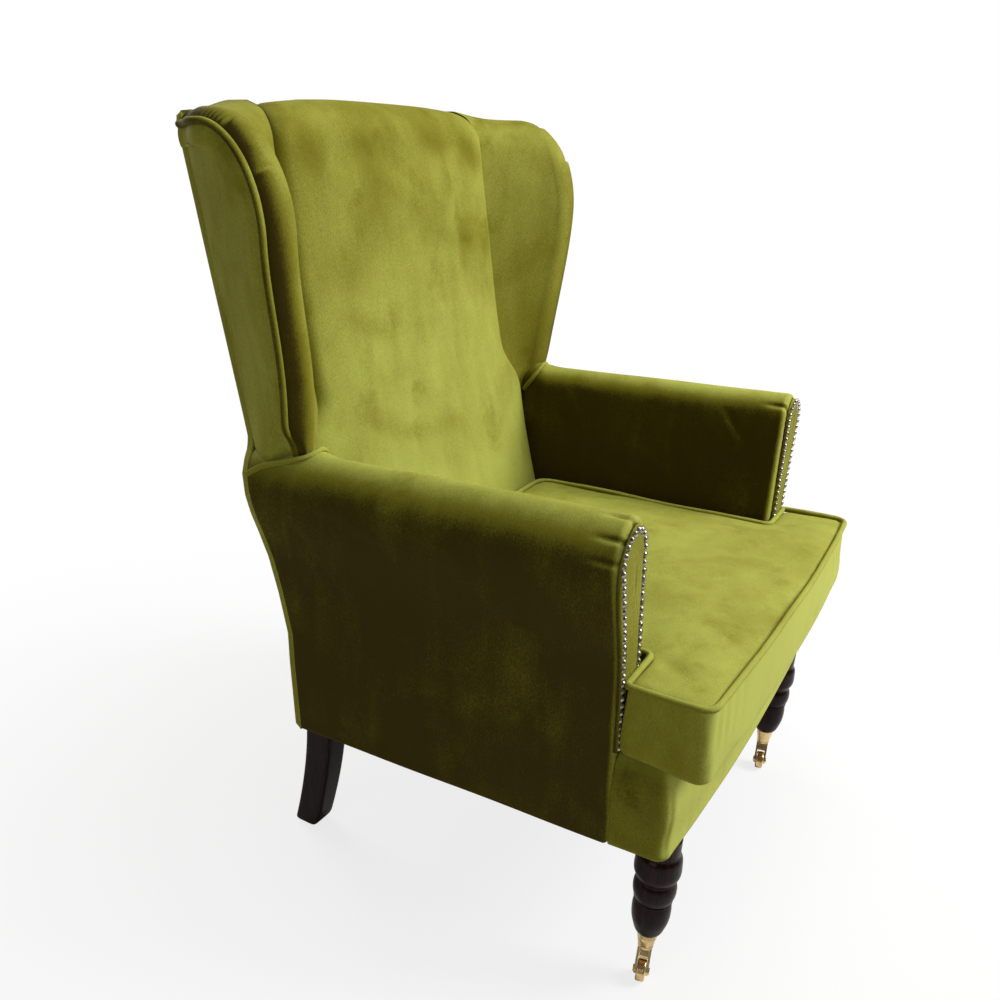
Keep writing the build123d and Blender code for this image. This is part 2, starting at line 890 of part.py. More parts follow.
# Loose cushion: flat below, swollen border, crowned top
cushion_stack = (
    (cushion_bottom, bottom_inset, 0.0),
    (cushion_bottom + bottom_round, piping_radius, 0.0),
    (cushion_bottom + cushion_border / 2, piping_radius, border_swell),
    (cushion_edge, piping_radius, 0.0),
    (cushion_edge + crown_shoulder_rise, piping_radius + crown_shoulder, 0.0),
    (cushion_edge + cushion_crown, crown_inset, 0.0),
)
with BuildPart() as seat_cushion:
    for stack_z, stack_inset, stack_swell in cushion_stack:
        with BuildSketch(level(stack_z)):
            with BuildLine():
                cushion_section(stack_inset, stack_swell)
            make_face()
    loft(ruled=True)
    cut_by(cushion_piping)
pieces["seat_cushion"] = seat_cushion

# Castor cups and their screws
cup_rise = cup_rim - cup_bottom
tenon_end = cup_bottom + cup_floor
screw_height = (cup_rim + tenon_end) / 2
screw_reach = cup_base_radius + (cup_rim_radius - cup_base_radius) * (screw_height - cup_bottom) / cup_rise
tenon_radius = cup_base_radius + (cup_rim_radius - cup_base_radius) * cup_floor / cup_rise - cup_wall
castor_screw_places = [(side * front_leg_half_gauge, turn) for side in (-1, 1) for turn in (-1, 1)]
with BuildPart() as castor_screws:
    for screw_x, turn in castor_screw_places:
        head_x = screw_x + turn * (screw_reach + screw_proud)
        with BuildSketch(Plane((head_x, front_leg_y, screw_height), z_dir=(-turn, 0, 0))) as screw_end:
            Circle(screw_radius)
        extrude(screw_end.sketch, amount=screw_bite)
        with BuildSketch(Plane((head_x, front_leg_y, screw_height), z_dir=(-turn, 0, 0))) as screw_head:
            Circle(screw_head_radius)
        extrude(screw_head.sketch, amount=2 * screw_proud)
pieces["castor_screws"] = castor_screws


def leg_height(share):
    """Height on the turned leg, from 0 at the castor cup to 1 at the seat box."""
    return cup_rim + share * (base_bottom - cup_rim)


# Turned front leg with its tenon in the castor cup
leg_plane = Plane((front_leg_half_gauge, front_leg_y, 0), x_dir=(1, 0, 0), z_dir=(0, -1, 0))
leg_axis = Axis((front_leg_half_gauge, front_leg_y, 0), (0, 0, 1))
with BuildPart() as front_leg:
    with BuildSketch(leg_plane):
        with BuildLine():
            top = leg_height(leg_stub)
            Polyline((0, top), (leg_block_radius, top), (leg_block_radius, leg_height(ring_start)))
            ThreePointArc(
                (leg_block_radius, leg_height(ring_start)),
                (leg_ring, leg_height(ring_middle)),
                (leg_neck + leg_neck_ease, leg_height(neck_start)),
            )
            ThreePointArc(
                (leg_neck + leg_neck_ease, leg_height(neck_start)),
                (leg_neck, leg_height(neck_middle)),
                (leg_neck + leg_neck_ease, leg_height(bead_start)),
            )
            ThreePointArc(
                (leg_neck + leg_neck_ease, leg_height(bead_start)),
                (leg_bead, leg_height(bead_middle)),
                (leg_neck + leg_neck_ease / 2, leg_height(cove_start)),
            )
            ThreePointArc(
                (leg_neck + leg_neck_ease / 2, leg_height(cove_start)),
                (leg_neck, leg_height(cove_middle)),
                (leg_neck + leg_neck_ease / 2, leg_height(swell_start)),
            )
            ThreePointArc(
                (leg_neck + leg_neck_ease / 2, leg_height(swell_start)),
                (leg_swell, leg_height(swell_middle)),
                (leg_toe + leg_neck_ease, leg_height(toe_start)),
            )
            ThreePointArc(
                (leg_toe + leg_neck_ease, leg_height(toe_start)),
                (leg_toe, leg_height(toe_middle)),
                (cup_rim_radius + leg_foot_lip, cup_rim),
            )
            Polyline(
                (cup_rim_radius + leg_foot_lip, cup_rim),
                (cup_rim_radius - cup_wall, cup_rim),
                (tenon_radius, tenon_end),
                (0, tenon_end),
                (0, top),
            )
        make_face()
    revolve(axis=leg_axis)
    split(bisect_by=level(base_bottom), keep=Keep.BOTTOM)
    cut_by(leg_bolts, castor_screws)
pair("front_leg", front_leg)

with BuildPart() as castor_cup:
    with BuildSketch(leg_plane):
        with BuildLine():
            Polyline(
                (swivel_pin_radius + running_gap, cup_bottom),
                (cup_base_radius, cup_bottom),
                (cup_rim_radius, cup_rim),
                (cup_rim_radius - cup_wall, cup_rim),
                (tenon_radius, tenon_end),
                (swivel_pin_radius + running_gap, tenon_end),
                close=True,
            )
        make_face()
    revolve(axis=leg_axis)
    cut_by(castor_screws)
pair("castor_cup", castor_cup)

# Swept rear legs
with BuildPart() as rear_leg:
    with BuildSketch(Plane.XY):
        with Locations((rear_leg_x - rear_leg_foot_in, rear_leg_y + rear_leg_sweep - pivot_ahead)):
            Rectangle(rear_leg_foot_width, rear_leg_foot_depth)
    with BuildSketch(level(base_bottom / 2)):
        with Locations((rear_leg_x - rear_leg_foot_in / 2, rear_leg_y + rear_leg_early * rear_leg_sweep)):
            Rectangle(
                (rear_leg_foot_width + rear_leg_top_width) / 2,
                (rear_leg_foot_depth + rear_leg_top_depth) / 2,
            )
    with BuildSketch(level(base_bottom)):
        with Locations((rear_leg_x, rear_leg_y)):
            Rectangle(rear_leg_top_width, rear_leg_top_depth)
    loft()
    cut_by(leg_bolts)
pair("rear_leg", rear_leg)

# Black cloth under the seat, cut round the legs
front_leg_seat = body.to_local_coords(Vector(front_leg_half_gauge, front_leg_y, base_bottom))
with BuildPart() as dust_cover:
    with BuildSketch(level(base_bottom - dust_cover_thickness)):
        with Locations((0, (border_inner + back_low) / 2)):
            Rectangle(2 * panel_inner, back_low - border_inner)
        with Locations((-front_leg_half_gauge, front_leg_seat.Y), (front_leg_half_gauge, front_leg_seat.Y)):
            Circle(leg_block_radius + leg_cutout, mode=Mode.SUBTRACT)
        with Locations((-rear_leg_x, rear_leg_y), (rear_leg_x, rear_leg_y)):
            Rectangle(
                rear_leg_top_width + 2 * leg_cutout,
                rear_leg_top_depth + 2 * leg_cutout,
                mode=Mode.SUBTRACT,
            )
    extrude(amount=dust_cover_thickness)
pieces["dust_cover"] = dust_cover

# Castors: horn, axle and wheel trail behind the swivel pin, both turned the same way
trail_way = Vector(cos(radians(castor_heading)), sin(radians(castor_heading)), 0)
axle_way = Vector(trail_way.Y, -trail_way.X, 0)
fork_half = wheel_width / 2 + cheek_gap
plate_top = cup_bottom - swivel_gap
plate_bottom = plate_top - swivel_plate
for side, side_name in ((-1, "right"), (1, "left")):
    swivel = Vector(side * front_leg_half_gauge, front_leg_y, 0)
    fork_plane = Plane(swivel, x_dir=trail_way, z_dir=axle_way)
    hub = swivel + trail_way * castor_trail + Vector(0, 0, wheel_radius)
    hub_plane = Plane(hub, x_dir=trail_way, z_dir=axle_way)

    with BuildPart() as castor_axle:
        with BuildSketch(hub_plane.offset(-fork_half - cheek)):
            Circle(axle_radius)
        extrude(amount=2 * (fork_half + cheek))
        head_start = -fork_half - cheek - axle_head
        with BuildSketch(hub_plane.offset(fork_half + cheek), hub_plane.offset(head_start)):
            Circle(axle_head_radius)
        extrude(amount=axle_head)
    pieces["castor_axle_" + side_name] = castor_axle

    with BuildPart() as castor_horn:
        with BuildSketch(Plane(swivel).offset(plate_bottom)):
            Circle(cup_base_radius)
        extrude(amount=swivel_plate)
        with BuildSketch(Plane(swivel).offset(plate_top)):
            Circle(swivel_pin_radius)
        extrude(amount=swivel_gap + cup_floor - screw_proud)
        for cheek_offset in (fork_half, -fork_half - cheek):
            with BuildSketch(fork_plane.offset(cheek_offset)) as cheek_side:
                with BuildLine():
                    Line((-cheek_root, plate_bottom), (cheek_root, plate_bottom))
                    CenterArc((castor_trail, wheel_radius), cheek_boss, 0, 360)
                make_hull()
            extrude(cheek_side.sketch, amount=cheek)
        cut_by(castor_axle)
    pieces["castor_horn_" + side_name] = castor_horn

    with BuildPart() as castor_wheel:
        with BuildSketch(hub_plane.offset(-wheel_width / 2)):
            Circle(wheel_radius)
            Circle(axle_radius + running_gap, mode=Mode.SUBTRACT)
        extrude(amount=wheel_width)
        rims = castor_wheel.edges().filter_by(GeomType.CIRCLE).sort_by(SortBy.RADIUS)[-2:]
        fillet(rims, radius=wheel_edge)
    pieces["castor_wheel_" + side_name] = castor_wheel

os.makedirs("parts", exist_ok=True)
for name, piece in pieces.items():
    piece.part.label = name
    export_step(piece.part, f"parts/{name}.step")

whole = Compound(children=[piece.part for piece in pieces.values()]).bounding_box()
print("overall", whole.min, whole.max)
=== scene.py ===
"""High back wing armchair: velvet covers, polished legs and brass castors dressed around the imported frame.

Sizes are metres. Upholstery sizes are given in the body frame of the chair: x across, y backwards from
the front legs, z up from the floor line. The body is pitched back a little, and BodyFrame turns its
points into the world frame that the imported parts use.
"""

import json
import logging
import math
from dataclasses import dataclass, field
from enum import Enum
from typing import Callable, Dict, List, Optional, Sequence, Tuple, Union

import bmesh
import bpy
import numpy as np
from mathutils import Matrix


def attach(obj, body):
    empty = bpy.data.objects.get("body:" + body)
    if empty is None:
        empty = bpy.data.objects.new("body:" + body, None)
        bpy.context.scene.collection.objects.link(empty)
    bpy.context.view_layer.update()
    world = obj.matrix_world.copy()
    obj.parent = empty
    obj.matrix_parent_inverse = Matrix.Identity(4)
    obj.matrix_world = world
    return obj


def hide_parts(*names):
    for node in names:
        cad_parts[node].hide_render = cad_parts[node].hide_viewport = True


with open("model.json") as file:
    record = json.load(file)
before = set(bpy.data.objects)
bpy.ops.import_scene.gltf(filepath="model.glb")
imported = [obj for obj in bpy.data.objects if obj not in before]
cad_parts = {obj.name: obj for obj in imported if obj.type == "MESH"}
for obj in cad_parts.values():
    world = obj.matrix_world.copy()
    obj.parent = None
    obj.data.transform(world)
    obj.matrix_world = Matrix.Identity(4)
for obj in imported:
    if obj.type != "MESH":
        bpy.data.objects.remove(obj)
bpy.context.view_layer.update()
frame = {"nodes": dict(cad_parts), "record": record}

Array = np.ndarray
Field = Callable[[Array], Array]
Colour = Tuple[float, float, float]
Point = Tuple[float, float, float]
LOG = logging.getLogger("wing_chair")
SIM_FRAMES = 20
COVER_CLOTH = {
    "use_pressure": True,
    "tension_stiffness": 18.0,
    "compression_stiffness": 12.0,
    "shear_stiffness": 6.0,
    "bending_stiffness": 0.6,
}
OUTWARD = np.array([1.0, 0.0, 0.0])
WHITE = (1.0, 1.0, 1.0, 1.0)


class Side(Enum):
    """Which side of the sitter a piece is on; the value is the sign of x."""

    LEFT = 1.0
    RIGHT = -1.0

    @property
    def word(self) -> str:
        """Lower-case word used in the names of nodes."""
        return self.name.lower()

    @property
    def mirror(self) -> Array:
        """Factors that turn left-hand points into points of this side."""
        return np.array([self.value, 1.0, 1.0])


@dataclass(frozen=True)
class BodyFrame:
    """Frame of the upholstered body, pitched back about the line of the front legs."""

    pitch: float = math.radians(2.2)
    pivot: float = 0.33407

    def world(self, points: Array) -> Array:
        """Body points in the world: turn about x by the pitch, then bring the pivot ahead.

        Args:
            points: array (..., 3) in the body frame.

        Returns:
            Array of the same shape in the world frame.
        """
        x, y, z = np.moveaxis(np.asarray(points, dtype=float), -1, 0)
        sin, cos = math.sin(self.pitch), math.cos(self.pitch)
        return np.stack([x, y * cos + z * sin - self.pivot, z * cos - y * sin], axis=-1)

    def local(self, points: Array) -> Array:
        """World points in the body frame, the inverse of world.

        Args:
            points: array (..., 3) in the world frame.

        Returns:
            Array of the same shape in the body frame.
        """
        x, y, z = np.moveaxis(np.asarray(points, dtype=float), -1, 0)
        sin, cos = math.sin(self.pitch), math.cos(self.pitch)
        y = y + self.pivot
        return np.stack([x, y * cos - z * sin, z * cos + y * sin], axis=-1)


BODY = BodyFrame()


@dataclass(frozen=True)
class BackLine:
    """Side lines of the back: the outside back's inner face and the front of the back pad."""

    foot: float = 0.541
    knee: float = 0.390
    slope: float = 0.2
    webbing_ahead: float = 0.032
    waist: float = 0.033
    lumbar: float = 0.019
    head: float = 0.017
    pad_knee: float = 0.447
    waist_height: float = 0.690
    post_top: float = 1.030

    def inner(self, z: Array) -> Array:
        """Depth of the outside back's inner face: upright to the knee, raked above it."""
        return self.foot + self.slope * np.maximum(0.0, np.asarray(z) - self.knee)

    def pad(self, z: Array) -> Array:
        """Depth of the pad's front: the webbing line less a swell, quadratic each way from the waist.

        Args:
            z: heights in the body frame.

        Returns:
            Depths y of the same shape.
        """
        z = np.clip(z, self.pad_knee, self.post_top)
        waist = self.waist_height
        low = self.lumbar * (np.maximum(0.0, waist - z) / (waist - self.pad_knee)) ** 2
        high = self.head * (np.maximum(0.0, z - waist) / (self.post_top - waist)) ** 2
        return self.inner(z) - self.webbing_ahead - self.waist - low - high


BACK = BackLine()


# Number helpers


def ease(values: Array, low: float, high: float) -> Array:
    """Smooth step from 0 at low to 1 at high: 3t squared less 2t cubed."""
    t = np.clip((np.asarray(values, dtype=float) - low) / (high - low), 0.0, 1.0)
    return t * t * (3.0 - 2.0 * t)


def unit(vectors: Array) -> Array:
    """Each row of an array (n, d) brought to length 1."""
    return vectors / np.linalg.norm(vectors, axis=1, keepdims=True)


def along_line(points: Array, start: Array, end: Array) -> Array:
    """Share of the way from start to end of the place on that line nearest to each point, 0 to 1."""
    return np.clip((points - start) @ (end - start) / ((end - start) @ (end - start)), 0.0, 1.0)


def lengths(points: Array) -> Array:
    """Running length along a polyline, starting from 0."""
    steps = np.linalg.norm(np.diff(points, axis=0), axis=1)
    return np.concatenate([[0.0], np.cumsum(steps)])


def resample(points: Array, count: int) -> Array:
    """Points at equal steps of length along a polyline.

    Args:
        points: array (n, d).
        count: number of points wanted, both ends included.

    Returns:
        Array (count, d).
    """
    run = lengths(points)
    wanted = np.linspace(0.0, run[-1], count)
    return np.stack([np.interp(wanted, run, points[:, k]) for k in range(points.shape[1])], axis=1)


def spline(controls: Sequence[Sequence[float]], count: int) -> Array:
    """Natural cubic spline through control points, by chord length, at equal steps of length.

    The second derivatives M solve the usual tridiagonal system with M = 0 at both ends, and each
    span is a cubic blend of its end points and end second derivatives.

    Args:
        controls: control points, each of the same number of coordinates.
        count: number of points wanted.

    Returns:
        Array (count, d).
    """
    knots = np.asarray(controls, dtype=float)
    t = lengths(knots)
    h = np.diff(t)
    n = len(knots)
    system = np.eye(n)
    right = np.zeros_like(knots)
    inner = np.arange(1, n - 1)
    system[inner, inner - 1] = h[:-1]
    system[inner, inner] = 2.0 * (h[:-1] + h[1:])
    system[inner, inner + 1] = h[1:]
    slopes = np.diff(knots, axis=0) / h[:, None]
    right[1:-1] = 6.0 * np.diff(slopes, axis=0)
    bends = np.linalg.solve(system, right)
    fine = np.linspace(0.0, t[-1], 40 * n)
    span = np.clip(np.searchsorted(t, fine, side="right") - 1, 0, n - 2)
    a = ((t[span + 1] - fine) / h[span])[:, None]
    b = 1.0 - a
    bend = (a**3 - a) * bends[span] + (b**3 - b) * bends[span + 1]
    curve = a * knots[span] + b * knots[span + 1] + bend * (h[span] ** 2 / 6.0)[:, None]
    return resample(curve, count)


def rounded_outline(corners: Sequence[Tuple[float, float, float]], count: int) -> Array:
    """Closed outline whose corners are arcs, at equal steps of length.

    Each corner (x, y, radius) becomes a quadratic curve between the points one radius before and
    one radius after it, with the corner as its middle control.

    Args:
        corners: corner points with the reach of their rounding.
        count: number of points, without a repeat of the first.

    Returns:
        Array (count, 2).
    """
    table = np.asarray(corners, dtype=float)
    spots, reach = table[:, :2], table[:, 2:3]
    back = np.roll(spots, 1, axis=0) - spots
    ahead = np.roll(spots, -1, axis=0) - spots
    start = spots + unit(back) * reach
    end = spots + unit(ahead) * reach
    t = np.linspace(0.0, 1.0, 12)[None, :, None]
    arcs = (1 - t) ** 2 * start[:, None] + 2 * t * (1 - t) * spots[:, None] + t**2 * end[:, None]
    loop = arcs.reshape(-1, 2)
    return resample(np.vstack([loop, loop[:1]]), count + 1)[:-1]


def nearest(points: Array, path: Array) -> Array:
    """Distance from each point to the nearest of the points on a path, in blocks to spare memory."""
    blocks = np.array_split(points, max(1, len(points) // 4000))
    return np.concatenate([np.linalg.norm(b[:, None] - path[None], axis=2).min(axis=1) for b in blocks])


def crease(points: Array, start: Sequence[float], end: Sequence[float], width: float) -> Array:
    """Soft line: a bell of the distance to a segment, fading towards both of its ends.

    Args:
        points: array (n, d).
        start: one end of the line.
        end: the other end.
        width: half width of the bell.

    Returns:
        Array (n,) from 0 far away to 1 on the line's middle.
    """
    a, b = np.asarray(start, dtype=float), np.asarray(end, dtype=float)
    along = along_line(points, a, b)
    gap = np.linalg.norm(points - (a + along[:, None] * (b - a)), axis=1)
    return np.exp(-((gap / width) ** 2)) * np.sin(np.pi * np.clip(along, 0.02, 0.98)) ** 0.5


def sway(points: Array, seed: int, wave: float) -> Array:
    """Slow unevenness of padding: the mean of plane waves with seeded headings, from -1 to 1.

    Args:
        points: array (n, 3).
        seed: seed of the headings, wave lengths and starts.
        wave: usual wave length in metres.

    Returns:
        Array (n,).
    """
    waves = 6
    rng = np.random.default_rng(seed)
    heading = rng.normal(size=(waves, 3))
    stretch = (2 * np.pi / wave) * rng.uniform(0.6, 1.4, (waves, 1))
    heading *= stretch / np.linalg.norm(heading, axis=1, keepdims=True)
    return np.sin(points @ heading.T + rng.uniform(0.0, 2 * np.pi, waves)).mean(axis=1)


def squircle(count: int, power: float) -> Array:
    """Unit superellipse: cos and sin of the turn, each with its sign and raised to a small power.

    Args:
        count: points round it.
        power: 1 gives a circle, towards 0 a square.

    Returns:
        Array (count, 2).
    """
    turn = np.linspace(0.0, 2 * np.pi, count, endpoint=False)
    c, s = np.cos(turn), np.sin(turn)
    return np.c_[np.sign(c) * np.abs(c) ** power, np.sign(s) * np.abs(s) ** power]


# Mesh helpers


def grid_faces(index: Array) -> Array:
    """Quads between neighbouring rows and columns of a grid of vertex numbers, array (n, 4)."""
    corners = [index[:-1, :-1], index[:-1, 1:], index[1:, 1:], index[1:, :-1]]
    return np.stack(corners, axis=-1).reshape(-1, 4)


def ringed(index: Array) -> Array:
    """Grid of vertex numbers whose rows close on themselves: the first column is repeated at the end."""
    return np.c_[index, index[:, :1]]


def grid_mesh(name: str, points: Array, caps: bool = True) -> bpy.types.Object:
    """Mesh object from a grid of body-frame points.

    Args:
        name: name of the piece.
        points: array (rows, columns, 3); each row is one closed ring of the surface.
        caps: whether the first and last rows are closed by fans to their middles.

    Returns:
        The linked object, at the origin, with outward faces and smooth shading.
    """
    rows, columns, _ = points.shape
    index = ringed(np.arange(rows * columns).reshape(rows, columns))
    faces = grid_faces(index).tolist()
    vertices = points.reshape(-1, 3)
    if caps:
        left, right = index[:, :-1], index[:, 1:]
        middles = np.stack([points[0].mean(axis=0), points[-1].mean(axis=0)])
        ends = np.full((2, columns), [[rows * columns], [rows * columns + 1]])
        fans = np.stack([ends, np.stack([right[0], left[-1]]), np.stack([left[0], right[-1]])], axis=-1)
        faces += fans.reshape(-1, 3).tolist()
        vertices = np.vstack([vertices, middles])
    return plain_mesh(name, BODY.world(vertices), faces)


def plain_mesh(name: str, vertices: Array, faces: List[List[int]]) -> bpy.types.Object:
    """Linked mesh object from world points and faces, cleaned of doubles and facing outwards.

    Args:
        name: name of the piece.
        vertices: array (n, 3) in the world frame.
        faces: vertex numbers of each face.

    Returns:
        The new object.
    """
    mesh = bpy.data.meshes.new(name)
    mesh.from_pydata(vertices, [], faces)
    shape = bmesh.new()
    shape.from_mesh(mesh)
    merge, least_edge = 2e-5, 1e-6
    bmesh.ops.remove_doubles(shape, verts=shape.verts, dist=merge)
    bmesh.ops.dissolve_degenerate(shape, edges=shape.edges, dist=least_edge)
    bmesh.ops.recalc_face_normals(shape, faces=shape.faces)
    shape.to_mesh(mesh)
    shape.free()
    mesh.polygons.foreach_set("use_smooth", np.ones(len(mesh.polygons), dtype=bool))
    piece = bpy.data.objects.new(name, mesh)
    bpy.context.scene.collection.objects.link(piece)
    return piece


def tube(path: Array, radius: float, sides: int, closed: bool) -> Array:
    """Round cord along a path: rings of cos and sin about the path's own sideways and upward lines.

    Args:
        path: array (n, 3) of body-frame points.
        radius: radius of the cord.
        sides: points round it.
        closed: whether the path closes on itself.

    Returns:
        Array (n or n + 1, sides, 3).
    """
    around = np.vstack([path[-1:], path, path[:1]]) if closed else path
    heading = np.gradient(around, axis=0)
    heading = unit(heading[1:-1] if closed else heading)
    steady = np.array([0.31, 0.17, 0.94])
    sideways = unit(np.cross(heading, steady))
    upward = np.cross(sideways, heading)
    turn = np.linspace(0.0, 2 * np.pi, sides, endpoint=False)[None, :, None]
    rings = path[:, None] + radius * (np.cos(turn) * sideways[:, None] + np.sin(turn) * upward[:, None])
    return np.concatenate([rings, rings[:1]]) if closed else rings


def point_values(mesh: bpy.types.Mesh, key: str) -> Array:
    """Values of a mesh's points.

    Args:
        mesh: mesh to read.
        key: co for places, normal for outward directions.

    Returns:
        Array (n, 3).
    """
    flat = np.empty(3 * len(mesh.vertices))
    mesh.vertices.foreach_get(key, flat)
    return flat.reshape(-1, 3)


def coordinates(piece: bpy.types.Object) -> Array:
    """World points of a piece's mesh, array (n, 3)."""
    return point_values(piece.data, "co")


def settle(piece: bpy.types.Object, points: Array) -> None:
    """Give a piece's mesh new world points."""
    piece.data.vertices.foreach_set("co", np.ascontiguousarray(points, dtype=float).ravel())
    piece.data.update()


def relief(piece: bpy.types.Object, height: Field) -> None:
    """Raise or sink a surface along its normals.

    Args:
        piece: the object to change.
        height: gives metres outwards for an array (n, 3) of body-frame points.
    """
    points = coordinates(piece)
    outward = point_values(piece.data, "normal")
    settle(piece, points + outward * height(BODY.local(points))[:, None])


@dataclass(frozen=True)
class Nap:
    """Painted light and shade of the velvet on one piece, by the way its faces turn, with hand marks; low and
    high are its darkest and lightest painted tone.
    """

    low: float = 0.10
    high: float = 0.80
    # lean, forwards and up give the direction the painted light comes from; front is painted light on front
    # faces; fall is painted shade higher up.
    lean: float = 0.0
    front: float = 0.0
    fall: float = 0.0
    strokes: Tuple[Tuple[float, ...], ...] = ()
    forwards: float = 0.62
    up: float = 0.785
    dark_facing: float = 0.02
    light_facing: float = 0.78

    def brush(self, piece: bpy.types.Object) -> None:
        """Store painted light and shade, with hand marks, at each point as a point attribute.

        Painted light and shade: a face n that looks forwards, up and to the lean, where the light is taken
        to come from, is painted light, and one that looks elsewhere painted shade: low + (high - low) *
        smooth step of (n . heading), plus painted light front for faces to the front, less painted shade
        fall for each metre above the waist, and less a bell along each stroke of a hand, given as x, z of
        both ends, width and depth.

        Args:
            piece: velvet piece to paint.
        """
        # Painted shade: faces turned away from this heading, taken as where the light comes from, are
        # darkened.
        heading = np.array([self.lean, -self.forwards, self.up])
        outward = point_values(piece.data, "normal")
        facing = outward @ (heading / np.linalg.norm(heading))
        values = self.low + (self.high - self.low) * ease(facing, self.dark_facing, self.light_facing)
        # Painted light on faces turned to the front.
        values += self.front * np.clip(-outward[:, 1], 0.0, 1.0) ** 2
        place = BODY.local(coordinates(piece))
        # Painted shade, darker for each metre above the waist.
        values -= self.fall * (place[:, 2] - BACK.waist_height)
        for x0, z0, x1, z1, width, depth in self.strokes:
            values -= depth * crease(place[:, ::2], (x0, z0), (x1, z1), width)
        layer = piece.data.attributes.new("nap", "FLOAT", "POINT")
        layer.data.foreach_set("value", np.clip(values, 0.0, 1.0).astype(np.float32))


def baked_mesh(piece: bpy.types.Object) -> bpy.types.Mesh:
    """Mesh of a piece with its modifiers worked in."""
    view = bpy.context.evaluated_depsgraph_get()
    return bpy.data.meshes.new_from_object(piece.evaluated_get(view))


def remesh(piece: bpy.types.Object, voxel: float, rounds: int) -> None:
    """Replace a closed mesh by an even skin of quads, lightly smoothed.

    Args:
        piece: closed piece.
        voxel: size of the quads.
        rounds: rounds of smoothing.
    """
    skin = piece.modifiers.new("skin", "REMESH")
    skin.mode = "VOXEL"
    skin.voxel_size = voxel
    skin.use_smooth_shade = True
    calm_skin(piece, rounds)


def stuff(piece: bpy.types.Object, held: Array, cap: Array, pressure: float) -> None:
    """Blow a pad's cover up from inside as cloth, hold its seams, and limit how far it swells.

    Args:
        piece: remeshed pad.
        held: pinned share of each point, 1 on seams.
        cap: furthest move of each point in metres.
        pressure: pressure inside the cover.
    """
    rest = coordinates(piece)
    group = piece.vertex_groups.new(name="held")
    pinned = np.flatnonzero(held > 0.5)
    group.add(pinned.tolist(), 1.0, "REPLACE")
    cloth = piece.modifiers.new("cloth", "CLOTH")
    for key, value in COVER_CLOTH.items():
        setattr(cloth.settings, key, value)
    cloth.settings.uniform_pressure_force = pressure
    cloth.settings.vertex_group_mass = "held"
    cloth.settings.effector_weights.gravity = 0.0
    cloth.point_cache.frame_end = SIM_FRAMES
    scene = bpy.context.scene
    for step in range(1, SIM_FRAMES + 1):
        scene.frame_set(step)
    mesh = baked_mesh(piece)
    move = point_values(mesh, "co") - rest
    piece.modifiers.clear()
    piece.vertex_groups.clear()
    scene.frame_set(1)
    bpy.data.meshes.remove(mesh)
    reach = np.linalg.norm(move, axis=1)
    settle(piece, rest + move * np.minimum(1.0, cap / np.maximum(reach, 1e-9))[:, None])


def calm_skin(piece: bpy.types.Object, rounds: int) -> None:
    """Smooth a piece's mesh by rounds of averaging, and work its modifiers in.

    Args:
        piece: piece to smooth.
        rounds: rounds of smoothing.
    """
    smooth = piece.modifiers.new("calm", "SMOOTH")
    smooth.iterations = rounds
    smooth.factor = 0.5
    mesh = baked_mesh(piece)
    piece.modifiers.clear()
    piece.data = mesh


def refine(piece: bpy.types.Object) -> None:
    """Add one live level of subdivision.

    Args:
        piece: evenly meshed piece.
    """
    finer = piece.modifiers.new("finer", "SUBSURF")
    finer.levels = 1
    finer.render_levels = 1


# Shader helpers


class Wire:
    """Output socket of a shader node; arithmetic on it adds Math nodes to the same sheet."""

    def __init__(self, sheet: "NodeSheet", socket: bpy.types.NodeSocket) -> None:
        """Keep the socket and the sheet that its maths is drawn on."""
        self.sheet = sheet
        self.socket = socket

    def _math(self, operation: str, first: object, second: object) -> "Wire":
        """One Math node on two values or wires."""
        return self.sheet.node("ShaderNodeMath", {"operation": operation}, {0: first, 1: second})

    def __add__(self, other: object) -> "Wire":
        """Sum."""
        return self._math("ADD", self, other)

    def __radd__(self, other: object) -> "Wire":
        """Sum with the wire second."""
        return self._math("ADD", other, self)

    def __sub__(self, other: object) -> "Wire":
        """Difference."""
        return self._math("SUBTRACT", self, other)

    def __rsub__(self, other: object) -> "Wire":
        """Difference with the wire second."""
        return self._math("SUBTRACT", other, self)

    def __mul__(self, other: object) -> "Wire":
        """Product."""
        return self._math("MULTIPLY", self, other)

    def __rmul__(self, other: object) -> "Wire":
        """Product with the wire second."""
        return self._math("MULTIPLY", other, self)


